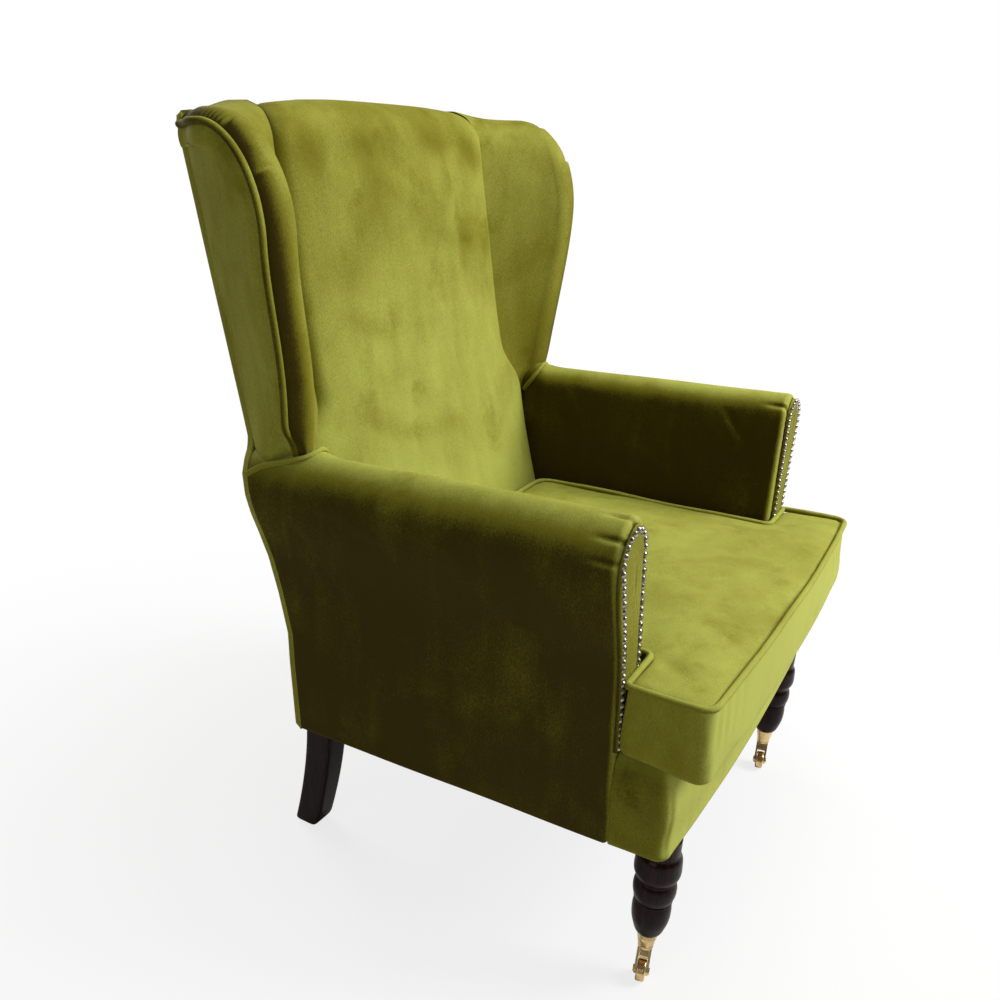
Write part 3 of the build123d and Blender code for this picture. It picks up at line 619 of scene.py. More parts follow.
class NodeSheet:
    """Node tree of one material or of the world."""

    def __init__(self, owner: Union[bpy.types.Material, bpy.types.World]) -> None:
        """Start with an empty sheet.

        Args:
            owner: new material or world that the nodes belong to.
        """
        self.owner = owner
        self.owner.use_nodes = True
        self.tree = self.owner.node_tree
        self.tree.nodes.clear()

    def node(
        self,
        kind: str,
        settings: Dict[str, object],
        inputs: Dict[object, object],
        out: Union[int, str] = 0,
    ) -> Optional[Wire]:
        """Add one node.

        Args:
            kind: Blender's type of node.
            settings: attributes, set before the sockets.
            inputs: socket name or number to a value or a wire.
            out: number or name of the output wanted.

        Returns:
            Wire from that output, or None where the node has no output.
        """
        made = self.tree.nodes.new(kind)
        for key, value in settings.items():
            setattr(made, key, value)
        for key, value in inputs.items():
            if isinstance(value, Wire):
                self.tree.links.new(value.socket, made.inputs[key])
            else:
                made.inputs[key].default_value = value
        return Wire(self, made.outputs[out]) if made.outputs else None

    def place(self, stretch: Point = (1.0, 1.0, 1.0)) -> Wire:
        """Object coordinates, stretched by a Mapping node."""
        spot = self.node("ShaderNodeTexCoord", {}, {}, 3)
        return self.node("ShaderNodeMapping", {}, {"Vector": spot, "Scale": stretch})

    def noise(self, spot: Wire, scale: float, detail: float, warp: float = 0.0) -> Wire:
        """Noise value from 0 to 1 about 0.5."""
        sockets = {"Vector": spot, "Scale": scale, "Detail": detail, "Roughness": 0.55, "Distortion": warp}
        return self.node("ShaderNodeTexNoise", {}, sockets)

    def span(self, value: Wire, low: float, high: float, start: float = 0.0, end: float = 1.0) -> Wire:
        """Value taken smoothly from low..high to start..end and held outside it."""
        sockets = {"Value": value, "From Min": low, "From Max": high, "To Min": start, "To Max": end}
        return self.node("ShaderNodeMapRange", {"interpolation_type": "SMOOTHSTEP"}, sockets)

    def blend(self, share: Wire, first: object, second: object) -> Wire:
        """Mix of two colours, each a wire or a colour."""
        pair = [c if isinstance(c, Wire) else (*c, 1.0) for c in (first, second)]
        return self.node("ShaderNodeMix", {"data_type": "RGBA"}, {0: share, 6: pair[0], 7: pair[1]}, 2)

    def bump(self, height: Wire, strength: float, distance: float) -> Wire:
        """Normal bent by a height."""
        return self.node("ShaderNodeBump", {}, {"Strength": strength, "Distance": distance, "Height": height})

    def surface(self, sockets: Dict[str, object]) -> bpy.types.Material:
        """Close the sheet with a Principled surface.

        Args:
            sockets: socket name to a value or a wire.

        Returns:
            The finished material.
        """
        shader = self.node("ShaderNodeBsdfPrincipled", {}, sockets)
        self.node("ShaderNodeOutputMaterial", {}, {"Surface": shader})
        return self.owner


@dataclass(frozen=True)
class Velvet:
    """Cut velvet: painted shade in the dark root colour and painted light in the light pile ends, mottled
    where hands have brushed it.
    """

    name: str = "moss_velvet"
    # Dark root colour, used as painted shade on faces turned from where the light comes.
    painted_shade_roots: Colour = (0.039, 0.027, 0.0014)
    # Middle colour between the painted shade and the painted light.
    middle: Colour = (0.172, 0.156, 0.0110)
    # Light pile-end colour, used as painted light on faces turned to where the light comes.
    ends: Colour = (0.440, 0.458, 0.0900)
    hands: float = 0.42
    streaks: float = 0.20

    def material(self) -> bpy.types.Material:
        """Colour follows the painted light and shade of the point attribute plus mottling, brushed streaks
        and a few darker hand marks.

        Returns:
            The new material.
        """
        sheet = NodeSheet(bpy.data.materials.new(self.name))
        spot = sheet.place()
        # Painted light and shade, with hand marks, read from the point attribute.
        nap = sheet.node("ShaderNodeAttribute", {"attribute_name": "nap"}, {}, 2)
        mottle = sheet.noise(spot, 6.5, 4.0, 0.45) - 0.5
        brushed = sheet.noise(sheet.place((30.0, 30.0, 4.5)), 1.0, 3.0, 0.4) - 0.5
        marks = sheet.span(sheet.noise(spot, 11.0, 4.0, 0.3), 0.54, 0.76)
        pile = sheet.noise(sheet.place((1.0, 1.0, 0.45)), 720.0, 3.0)
        tone = nap + mottle * self.hands + brushed * self.streaks - marks * 0.15 + (pile - 0.5) * 0.42
        # Painted shade and light: the tone ramps from the dark root colour through the middle to the light
        # pile ends.
        shaded = sheet.blend(sheet.span(tone, 0.05, 0.50), self.painted_shade_roots, self.middle)
        colour = sheet.blend(sheet.span(tone, 0.42, 1.02), shaded, self.ends)
        rough = 0.74 + mottle * 0.3
        grain = sheet.bump(pile, 0.30, 0.0008)
        return sheet.surface({
            "Base Color": colour, "Roughness": rough, "Normal": grain, "Specular IOR Level": 0.06,
            "Sheen Weight": 0.10, "Sheen Roughness": 0.35, "Sheen Tint": (0.66, 0.62, 0.12, 1.0),
        })


@dataclass(frozen=True)
class PolishedWood:
    """Stained hardwood under polish: long grain, darker pores, a clear coat."""

    name: str = "polished_mahogany"
    dark: Colour = (0.0040, 0.0014, 0.0010)
    light: Colour = (0.0200, 0.0060, 0.0034)
    coat: float = 0.12

    def material(self) -> bpy.types.Material:
        """Grain runs up the leg: noise squeezed across it, with finer pores over it.

        Returns:
            The new material.
        """
        sheet = NodeSheet(bpy.data.materials.new(self.name))
        grain = sheet.noise(sheet.place((1.0, 1.0, 0.07)), 120.0, 5.0, 1.4)
        pores = sheet.noise(sheet.place((1.0, 1.0, 0.03)), 900.0, 2.0)
        colour = sheet.blend(sheet.span(grain * 0.8 + pores * 0.2, 0.35, 0.68), self.dark, self.light)
        worn = sheet.noise(sheet.place(), 60.0, 3.0)
        return sheet.surface({
            "Base Color": colour, "Roughness": 0.22 + worn * 0.16, "Normal": sheet.bump(pores, 0.06, 0.0003),
            "Coat Weight": self.coat, "Coat Roughness": 0.06, "Specular IOR Level": 0.07,
        })


@dataclass(frozen=True)
class RawWood:
    """Sawn beech of the hidden frame."""

    name: str = "sawn_beech"
    dark: Colour = (0.42, 0.27, 0.14)
    light: Colour = (0.60, 0.43, 0.25)

    def material(self) -> bpy.types.Material:
        """Soft grain with small flecks and a dull saw-cut roughness.

        Returns:
            The new material.
        """
        sheet = NodeSheet(bpy.data.materials.new(self.name))
        grain = sheet.noise(sheet.place((1.0, 0.12, 1.0)), 80.0, 4.0, 1.0)
        fleck = sheet.noise(sheet.place(), 420.0, 1.0)
        colour = sheet.blend(sheet.span(grain * 0.8 + fleck * 0.2, 0.36, 0.66), self.dark, self.light)
        return sheet.surface({
            "Base Color": colour, "Roughness": 0.62 + fleck * 0.2, "Normal": sheet.bump(fleck, 0.15, 0.0004),
        })


@dataclass(frozen=True)
class Metal:
    """Metal with a tarnish that gathers in soft patches and fine rubbing marks."""

    name: str
    bright: Colour
    dull: Colour
    shine: float
    patch: float

    def material(self) -> bpy.types.Material:
        """Bright metal mixed with its tarnish by noise, rougher where it is dull.

        Returns:
            The new material.
        """
        sheet = NodeSheet(bpy.data.materials.new(self.name))
        patches = sheet.span(sheet.noise(sheet.place(), self.patch, 3.0, 0.6), 0.42, 0.70)
        rubbed = sheet.noise(sheet.place((1.0, 1.0, 6.0)), 900.0, 2.0)
        return sheet.surface({
            "Base Color": sheet.blend(patches, self.bright, self.dull), "Metallic": 1.0,
            "Roughness": self.shine + patches * 0.18 + rubbed * 0.08,
            "Normal": sheet.bump(rubbed, 0.05, 0.0002),
        })


@dataclass(frozen=True)
class PlainCloth:
    """Plain woven or felted cloth with two sets of threads."""

    name: str
    low: Colour
    high: Colour
    threads: float

    def material(self) -> bpy.types.Material:
        """Threads are fine noise squeezed one way and then the other.

        Returns:
            The new material.
        """
        sheet = NodeSheet(bpy.data.materials.new(self.name))
        warp = sheet.noise(sheet.place((1.0, 0.1, 0.1)), self.threads, 1.0)
        weft = sheet.noise(sheet.place((0.1, 1.0, 1.0)), self.threads, 1.0)
        weave = warp * 0.5 + weft * 0.5
        colour = sheet.blend(sheet.span(weave, 0.38, 0.62), self.low, self.high)
        return sheet.surface({
            "Base Color": colour, "Roughness": 0.86 + warp * 0.1, "Normal": sheet.bump(weave, 0.25, 0.0005),
            "Sheen Weight": 0.1,
        })


VELVET = Velvet()
PIPING_VELVET = Velvet(name="piping_velvet", hands=0.25, streaks=0.10)
LEG_WOOD = PolishedWood()
FRAME_WOOD = RawWood()
BRASS = Metal("polished_brass", (0.86, 0.64, 0.30), (0.52, 0.33, 0.13), 0.13, 70.0)
NAIL_METAL = Metal("antique_silver", (0.42, 0.39, 0.33), (0.05, 0.04, 0.03), 0.22, 240.0)
SPRING_STEEL = Metal("drawn_wire", (0.42, 0.42, 0.43), (0.20, 0.19, 0.18), 0.34, 90.0)
WEBBING = PlainCloth("woven_webbing", (0.018, 0.016, 0.013), (0.060, 0.054, 0.044), 1400.0)
PLATFORM_CLOTH = PlainCloth("platform_cloth", (0.040, 0.043, 0.010), (0.085, 0.088, 0.025), 1500.0)
DUST_CLOTH = PlainCloth("dust_cloth", (0.006, 0.006, 0.006), (0.020, 0.020, 0.020), 1100.0)


class Wardrobe:
    """Makes each finish once and dresses pieces in it."""

    def __init__(self) -> None:
        """Start with no material made."""
        self.made: Dict[str, bpy.types.Material] = {}

    def dress(self, piece: bpy.types.Object, finish: object) -> None:
        """Give a piece a finish as its only material.

        Args:
            piece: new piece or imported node.
            finish: one of the finishes above.
        """
        if finish.name not in self.made:
            self.made[finish.name] = finish.material()
        piece.data.materials.clear()
        piece.data.materials.append(self.made[finish.name])


WARDROBE = Wardrobe()


def finish(
    piece: bpy.types.Object,
    look: object,
    slot: str,
    nodes: Sequence[str] = (),
    body: str = "chair",
    fill: Optional[float] = None,
) -> None:
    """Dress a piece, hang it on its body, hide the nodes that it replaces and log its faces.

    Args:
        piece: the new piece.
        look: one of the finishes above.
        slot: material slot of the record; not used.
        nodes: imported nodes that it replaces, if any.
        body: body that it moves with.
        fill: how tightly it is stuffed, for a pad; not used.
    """
    WARDROBE.dress(piece, look)
    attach(piece, body)
    if nodes:
        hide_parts(*nodes)
    LOG.info("%s: %d faces for %s", piece.name, len(piece.data.polygons), ", ".join(nodes) or "looks")


def upholster(
    piece: bpy.types.Object, nodes: Sequence[str], nap: Nap, fill: float, body: str = "chair"
) -> None:
    """Finish one velvet pad: paint its light, shade and hand marks, then dress it."""
    nap.brush(piece)
    finish(piece, VELVET, "velvet", nodes, body, fill)


def trim(piece: bpy.types.Object, nodes: Sequence[str], nap: Nap, body: str = "chair") -> None:
    """Finish one velvet-covered cord or edge: paint its light and shade, then dress it."""
    nap.brush(piece)
    finish(piece, PIPING_VELVET, "piping", nodes, body)


@dataclass
class SeatCushion:
    """Loose T-shaped cushion: flat below, boxed border, crowned top, piped top edge."""

    ear: float = 0.3480
    half: float = 0.2635
    front: float = -0.066
    ear_rear: float = 0.0456
    rear: float = 0.4660
    bottom: float = 0.3703
    edge: float = 0.4668
    crown: float = 0.016
    bow: float = 0.010
    sag: float = 0.010
    cord: float = 0.0045
    points: int = 560
    voxel: float = 0.006
    border: Tuple[Tuple[float, float], ...] = (
        (0.016, 0.0), (0.007, 0.0), (0.0030, 0.002), (0.0010, 0.007), (0.0005, 0.025), (0.0025, 0.060),
    )
    under_shares: Tuple[float, ...] = (0.02, 0.3, 0.6, 0.85)
    top_shares: Tuple[float, ...] = (1.0, 0.97, 0.92, 0.85, 0.75, 0.6, 0.4, 0.2, 0.02)

    def outline(self, inset: float) -> Array:
        """T-shaped plan with rounded corners and a front bowed forward as a parabola of x.

        Args:
            inset: how far inside the seam the line runs.

        Returns:
            Array (points, 2).
        """
        ear, half = self.ear - inset, self.half - inset
        front, notch, rear = self.front + inset, self.ear_rear - inset, self.rear - inset
        corners = [
            (ear, front, 0.018), (ear, notch, 0.004), (half, notch, 0.014), (half, rear, 0.026),
            (-half, rear, 0.026), (-half, notch, 0.014), (-ear, notch, 0.004), (-ear, front, 0.018),
        ]
        plan = rounded_outline(corners, self.points)
        ahead = 1.0 - ease(plan[:, 1], front, front + 0.05)
        plan[:, 1] -= self.bow * ahead * (1.0 - (plan[:, 0] / self.ear) ** 2)
        return plan

    def shell(self) -> Array:
        """Rings from the middle of the underside, up the border and in to the middle of the top.

        A ring is the plan drawn in towards a middle point, at a height that follows the border's
        straight rise, its sag where it overhangs the front, and the smooth rise of the crown.

        Returns:
            Array (rings, points, 3).
        """
        middle = np.array([0.0, 0.020])
        flat = self.outline(0.0)
        draws, heights = [], []
        for share in self.under_shares:
            draws.append(middle + (self.outline(0.030) - middle) * share)
            heights.append(np.full(self.points, self.bottom))
        for inset, height in self.border:
            ring = self.outline(inset)
            sag = self.sag * (1.0 - ease(ring[:, 1], self.front - 0.010, self.ear_rear - 0.006))
            draws.append(ring)
            heights.append(self.bottom + height - sag * (1.0 - height / (self.edge - self.bottom)))
        draws.append(self.outline(self.cord))
        heights.append(np.full(self.points, self.edge))
        gap = self.outline(0.012)
        for share in self.top_shares:
            ring = middle + (gap - middle) * share
            inside = nearest(np.c_[ring, np.zeros(len(ring))], np.c_[flat, np.zeros(len(flat))])
            draws.append(ring)
            heights.append(self.edge + 0.001 + self.crown * ease(inside, 0.0, 0.15))
        rings = np.stack(draws)
        return np.concatenate([rings, np.stack(heights)[..., None]], axis=-1)

    def seam(self) -> Array:
        """Line of the piping round the top edge, with the slight sag of a sewn cord.

        Returns:
            Array (points, 3).
        """
        plan = self.outline(self.cord)
        turn = np.linspace(0.0, 2 * np.pi, self.points, endpoint=False)
        sag = 0.0012 * np.sin(5 * turn + 0.7) + 0.0008 * np.sin(11 * turn)
        return np.c_[plan, self.edge + sag]

    def folds(self, p: Array) -> Array:
        """Drawn-in folds at the ears, wrinkles by the front corners and a slow unevenness.

        Args:
            p: body-frame points.

        Returns:
            Metres outwards at each point.
        """
        q = np.c_[np.abs(p[:, 0]), p[:, 1], p[:, 2]]
        top = ease(q[:, 2], self.edge - 0.004, self.edge + 0.008)
        side = ease(q[:, 0], self.ear - 0.016, self.ear - 0.006) * (1.0 - top)
        fore = (1.0 - ease(q[:, 1], self.front, self.front + 0.016)) * (1.0 - top)
        sink = 0.0045 * top * crease(q[:, :2], (0.256, 0.046), (0.300, -0.018), 0.013)
        sink += 0.0025 * top * crease(q[:, :2], (0.250, 0.030), (0.205, -0.010), 0.016)
        sink += 0.0050 * side * crease(q[:, 1:], (0.034, 0.458), (-0.046, 0.384), 0.016)
        sink += 0.0022 * side * crease(q[:, 1:], (-0.020, 0.462), (-0.056, 0.405), 0.008)
        for at, depth in ((0.318, 0.0022), (0.296, 0.0018), (0.268, 0.0014), (0.236, 0.0010)):
            sink += depth * fore * crease(q[:, ::2], (at, 0.462), (at + 0.008, 0.402), 0.0055)
        return 0.0010 * sway(p, 5, 0.16) - sink

    def build(self) -> None:
        """Make the cushion, stuff it as cloth between its held seams, and pipe its edge."""
        pad = grid_mesh("seat_cushion_pad", self.shell())
        seam = self.seam()
        remesh(pad, self.voxel, 3)
        p = BODY.local(coordinates(pad))
        held = (nearest(p, seam) < 0.0065) | (p[:, 2] < self.bottom + 0.006)
        top = ease(p[:, 2], self.edge - 0.002, self.edge + 0.006)
        tucked = (p[:, 1] > self.ear_rear - 0.014).astype(float)
        cap = 0.026 * top + (1.0 - top) * (0.0008 * tucked + 0.0085 * (1.0 - tucked))
        stuff(pad, held.astype(float), cap, 4.0)
        calm_skin(pad, 2)
        refine(pad)
        relief(pad, self.folds)
        # Painted light on the cushion's top and front faces, painted shade on its sides.
        upholster(pad, ["seat_cushion"], Nap(low=0.52, high=0.78, front=0.22), 0.85, "cushion")
        cord = grid_mesh("seat_cushion_cord", tube(seam, self.cord, 12, True), caps=False)
        relief(cord, lambda p: 0.0003 * sway(p, 3, 0.03))
        trim(cord, ["cushion_piping"], Nap(low=0.40), "cushion")


@dataclass
class BackPad:
    """Inside back: one pad carried up the webbing and rolled over the top of the frame."""

    bottom: float = 0.346
    roll_depth: float = 0.060
    top: float = 1.088
    crest_run: float = 0.030
    crest_fall: float = 0.022
    half: float = 0.256
    depth: float = 0.045
    crown: float = 0.013
    corner: float = 0.026
    arm_lean: float = 0.11
    arm_foot: float = 0.266
    voxel: float = 0.0065
    strokes: Tuple[Tuple[float, float, float, float, float, float], ...] = (
        (-0.200, 0.815, -0.070, 0.770, 0.015, 0.10),
        (-0.205, 0.690, -0.110, 0.632, 0.017, 0.13),
        (-0.115, 0.633, 0.060, 0.622, 0.017, 0.10),
        (-0.225, 1.045, -0.175, 1.000, 0.024, 0.22),
        (0.165, 1.045, 0.232, 0.995, 0.024, 0.24),
        (-0.110, 1.040, -0.060, 1.020, 0.016, 0.14),
        (0.060, 1.045, 0.120, 1.030, 0.014, 0.12),
        (0.120, 0.860, 0.200, 0.930, 0.030, 0.06),
    )

    def path(self) -> Array:
        """Side line of the pad's face: up the front, a quarter ellipse over the top, a small one behind.

        Returns:
            Array (points, 2) of depth and height.
        """
        rise = np.linspace(self.bottom, BACK.post_top, 150)
        front = np.c_[BACK.pad(rise), rise]
        turn = np.linspace(0.0, np.pi / 2, 40)[1:]
        ahead = front[-1, 0] + self.roll_depth * (1 - np.cos(turn))
        over = np.c_[ahead, BACK.post_top + (self.top - BACK.post_top) * np.sin(turn)]
        crest = over[-1, 0]
        behind = np.c_[crest + self.crest_run * np.sin(turn), self.top - self.crest_fall * (1 - np.cos(turn))]
        return resample(np.vstack([front, over, behind]), 190)

    def section(self, count: int) -> Tuple[Array, Array]:
        """Closed half-unit loop of the pad: bowed face, rounded corners, straight sides and rear.

        Args:
            count: points on the face.

        Returns:
            Share of the half width, and share of the depth from the face, each (points,).
        """
        across = np.sin(np.linspace(-np.pi / 2, np.pi / 2, count))
        back = np.linspace(1.0, -1.0, 40)
        return np.concatenate([across, back]), np.concatenate([np.zeros(count), np.ones(40)])

    def shell(self) -> Array:
        """Loops across the path: x = share of the half width, depth = fall of the edge less the crown.

        Returns:
            Array (path points, loop points, 3).
        """
        path = self.path()
        heading = unit(np.gradient(path, axis=0))
        inward = np.c_[heading[:, 1], -heading[:, 0]]
        z = path[:, 1]
        at_arm = self.arm_foot + self.arm_lean * (z - 0.336)
        half = at_arm + (self.half - at_arm) * ease(z, 0.630, 0.710)
        late = ease(np.arange(len(path)), 0.80 * len(path), len(path))
        half = half - 0.012 * late
        share, deep = self.section(90)
        x = half[:, None] * share[None]
        edge = np.maximum(0.0, np.abs(x) - (half[:, None] - self.corner))
        fall = self.corner - np.sqrt(np.maximum(0.0, self.corner**2 - edge**2))
        rise = (ease(z, 0.40, 0.62) * (1.0 - ease(z, 0.93, 1.05)))[:, None]
        bow = self.crown * rise * (1.0 - np.abs(share[None]) ** 2.4)
        thick = (self.depth - 0.026 * late)[:, None]
        rear = np.maximum(thick, self.corner + 0.002 - 0.012 * late[:, None])
        depth = np.where(deep[None] > 0.5, rear, fall - bow)
        y = path[:, 0, None] + inward[:, 0, None] * depth
        z = path[:, 1, None] + inward[:, 1, None] * depth
        drop = 0.010 * late[:, None] * share[None] ** 4 + 0.005 * late[:, None] * share[None] ** 2
        return np.stack([x, y, z - drop], axis=-1)

    def softness(self, p: Array) -> Array:
        """Slow unevenness of the stuffing and the shallow sitting marks across the face.

        Args:
            p: body-frame points.

        Returns:
            Metres outwards at each point.
        """
        marks = 0.0016 * crease(p[:, ::2], (-0.16, 0.78), (0.16, 0.74), 0.030)
        marks += 0.0012 * crease(p[:, ::2], (-0.10, 0.64), (0.13, 0.66), 0.024)
        return 0.0013 * sway(p, 11, 0.22) - marks

    def build(self) -> None:
        """Make the pad and stuff it lightly between its held sides."""
        pad = grid_mesh("inside_back_pad", self.shell())
        remesh(pad, self.voxel, 3)
        p = BODY.local(coordinates(pad))
        face = p[:, 1] - BACK.pad(p[:, 2])
        held = (np.abs(p[:, 0]) > self.half - 0.020) | (face > 0.030) | (p[:, 2] < 0.42)
        cap = 0.009 * (1.0 - ease(p[:, 2], BACK.post_top - 0.10, BACK.post_top))
        stuff(pad, held.astype(float), cap, 3.0)
        calm_skin(pad, 4)
        refine(pad)
        relief(pad, self.softness)
        # Painted shade, darker above the waist and on faces turned from the light; the strokes are hand
        # marks.
        upholster(pad, ["inside_back"], Nap(low=0.30, high=0.77, fall=0.48, strokes=self.strokes), 0.8)


@dataclass
class Arm:
    """Rolled arm: one cover from the seat, over the scroll and down to the base, with a nailed front."""

    side: Side
    front: float = 0.050
    edge: float = 0.008
    medial: Tuple[Tuple[float, float], Tuple[float, float]] = ((0.303, 0.352), (0.330, 0.622))
    front_insets: Tuple[float, ...] = (1.0, 0.045, 0.032, 0.024, 0.019, 0.015)
    panel_middle: Tuple[Tuple[float, float], Tuple[float, float]] = ((0.316, 0.380), (0.338, 0.630))
    dome: Tuple[Tuple[float, float], ...] = (
        (0.0, 0.0500), (0.02, 0.0476), (0.07, 0.0456), (0.14, 0.0450), (0.26, 0.0450),
        (0.42, 0.0444), (0.62, 0.0440), (0.82, 0.0439), (0.96, 0.0439),
    )
    fold: float = 0.0042

    def section(self, along: Array) -> Array:
        """Loops of the arm at shares of its length: a spline over the visible line, lines inside.

        The line runs up the leaning inside, over the crest and scroll and down the outside. Towards
        the back it falls and the scroll narrows, each in proportion to the share.

        Args:
            along: shares from 0 at the front to 1 at the back.

        Returns:
            Array (shares, points, 2) of x and z.
        """
        line = np.array([
            (0.2620, 0.3360, 0.000, 0.000), (0.2732, 0.4400, 0.000, 0.003), (0.2842, 0.5400, 0.000, 0.006),
            (0.2935, 0.6220, 0.000, 0.010), (0.3030, 0.6535, 0.000, 0.010), (0.3260, 0.6680, 0.002, 0.010),
            (0.3540, 0.6585, 0.007, 0.010), (0.3715, 0.6345, 0.011, 0.010), (0.3770, 0.6060, 0.013, 0.009),
            (0.3745, 0.5780, 0.013, 0.006), (0.3665, 0.5440, 0.012, 0.003), (0.3565, 0.5050, 0.009, 0.000),
            (0.3492, 0.4500, 0.005, 0.000), (0.3445, 0.3450, 0.000, 0.000), (0.3402, 0.2350, 0.000, 0.000),
        ])
        start = spline(line[:, :2], 330)
        finish = spline(line[:, :2] - line[:, 2:], 330)
        inside = np.array([(0.338, 0.2322), (0.318, 0.236), (0.312, 0.300), (0.310, 0.330), (0.285, 0.3345)])
        inside = resample(inside, 26)
        start, finish = np.vstack([start, inside]), np.vstack([finish, inside])
        return start[None] + (finish - start)[None] * np.asarray(along)[:, None, None]

    def shell(self) -> Array:
        """Rings from the middle of the front, round its edge and back to the outside back.

        Front rings move each point of the loop towards its nearest place on the arm's middle line;
        the edge is a quarter circle, y = front + r - sqrt(r squared - (r - inset) squared).

        Returns:
            Array (rings, points, 3).
        """
        loop = self.section(np.zeros(1))[0]
        low, high = (np.array(end) for end in self.medial)
        share = along_line(loop, low, high)
        inward = low + share[:, None] * (high - low) - loop
        reach = np.linalg.norm(inward, axis=1, keepdims=True)
        inward /= reach
        turn = np.linspace(0.0, np.pi / 2, 9)
        insets = np.concatenate([self.front_insets, self.edge * (1 - np.cos(turn[::-1]))])
        rings = []
        for inset in insets[:-1]:
            ring = loop + inward * np.minimum(inset, reach)
            bend = max(0.0, self.edge - inset)
            y = self.front + self.edge - math.sqrt(self.edge**2 - bend**2)
            rings.append(np.c_[ring[:, 0], np.full(len(ring), y), ring[:, 1]])
        along = np.concatenate([np.linspace(0.0, 0.05, 14)[:-1], np.linspace(0.05, 1.0, 100)])
        loops = self.section(along)
        rear = BACK.inner(loops[..., 1])
        depth = self.front + self.edge + along[:, None] * (rear - self.front - self.edge)
        body = np.stack([loops[..., 0], depth, loops[..., 1]], axis=-1)
        return np.concatenate([np.stack(rings), body])

    def pleats(self, p: Array) -> Array:
        """Folds round the arm front, faint creases outside and in, and the rise at the wing's foot.

        Args:
            p: body-frame points.

        Returns:
            Metres outwards at each point.
        """
        q = p * self.side.mirror
        fore = 1.0 - ease(q[:, 1], self.front + 0.012, self.front + 0.045)
        sink = np.zeros(len(q))
        for (x0, z0), (x1, z1), depth in (
            ((0.350, 0.640), (0.386, 0.664), 0.0030),
            ((0.333, 0.650), (0.341, 0.688), 0.0034),
            ((0.312, 0.640), (0.293, 0.664), 0.0028),
            ((0.360, 0.622), (0.392, 0.628), 0.0016),
        ):
            sink += depth * fore * crease(q[:, ::2], (x0, z0), (x1, z1), 0.0032)
        outer = ease(q[:, 0], 0.338, 0.346)
        sink += 0.0018 * outer * crease(q[:, 1:], (0.520, 0.575), (0.445, 0.470), 0.006)
        sink += 0.0012 * outer * crease(q[:, 1:], (0.500, 0.600), (0.340, 0.560), 0.010)
        inner = 1.0 - ease(q[:, 0], 0.300, 0.316)
        sink += 0.0016 * inner * crease(q[:, 1:], (0.150, 0.640), (0.110, 0.590), 0.006)
        peak = np.exp(-(((q[:, 0] - 0.316) / 0.020) ** 2) - ((q[:, 1] - 0.500) / 0.022) ** 2)
        lift = 0.0065 * peak * ease(q[:, 2], 0.60, 0.65)
        return lift + 0.0011 * sway(p, 21, 0.20) - sink

    def front_outline(self) -> Array:
        """Edge of the nailed front panel: a spline up the inside, over the arch and down the outside.

        Returns:
            Array (points, 2) of x and z.
        """
        line = [
            (0.2880, 0.372), (0.2972, 0.500), (0.3050, 0.612), (0.3120, 0.646),
            (0.3315, 0.6610), (0.3560, 0.6480), (0.3725, 0.6220), (0.3742, 0.6000),
            (0.3665, 0.5550), (0.3540, 0.5020), (0.3480, 0.4500), (0.3440, 0.372),
        ]
        foot = resample(np.array([(0.3430, 0.372), (0.2890, 0.372)]), 24)
        return np.vstack([spline(line, 220), foot])

    def panel(self) -> Array:
        """Front panel: rings drawn in to the middle line, tacked down at the edge and domed within.

        Returns:
            Array (rings, points, 3).
        """
        loop = self.front_outline()
        low, high = (np.array(end) for end in self.panel_middle)
        share = along_line(loop, low, high)
        middle = low + share[:, None] * (high - low)
        rings = []
        for draw, y in self.dome:
            ring = loop + (middle - loop) * draw
            rings.append(np.c_[ring[:, 0], np.full(len(ring), y), ring[:, 1]])
        return np.stack(rings)

    def rim(self) -> Array:
        """Line of the folded edge where the arm cover goes round the foot of the wing.

        Returns:
            Array (points, 3).
        """
        line = [
            (0.3600, 0.5880, 0.6270), (0.3565, 0.5650, 0.6400), (0.3525, 0.5400, 0.6480),
            (0.3455, 0.5150, 0.6550), (0.3340, 0.4980, 0.6610), (0.3180, 0.4940, 0.6650),
            (0.3040, 0.4980, 0.6560), (0.2960, 0.5080, 0.6390), (0.2950, 0.5230, 0.6200),
        ]
        return spline(line, 90)

    def build(self) -> None:
        """Make the arm's cover, its folded rear edge and its nailed front panel."""
        mirror = self.side.mirror
        word = self.side.word
        cover = grid_mesh(f"arm_cover_{word}", self.shell() * mirror)
        relief(cover, self.pleats)
        # Painted shade on the arm's sideways faces, painted light on its top.
        upholster(cover, [f"inside_arm_{word}", f"outside_arm_{word}"], Nap(low=0.08, high=0.84), 0.9)
        rim = grid_mesh(f"arm_fold_{word}", tube(self.rim() * mirror, self.fold, 10, False))
        trim(rim, [], Nap(low=0.45))
        panel = grid_mesh(f"arm_front_{word}", self.panel() * mirror)
        relief(panel, lambda p: 0.0006 * sway(p, 31, 0.07))
        upholster(panel, [f"arm_facing_{word}"], Nap(low=0.10, high=0.62), 0.7)


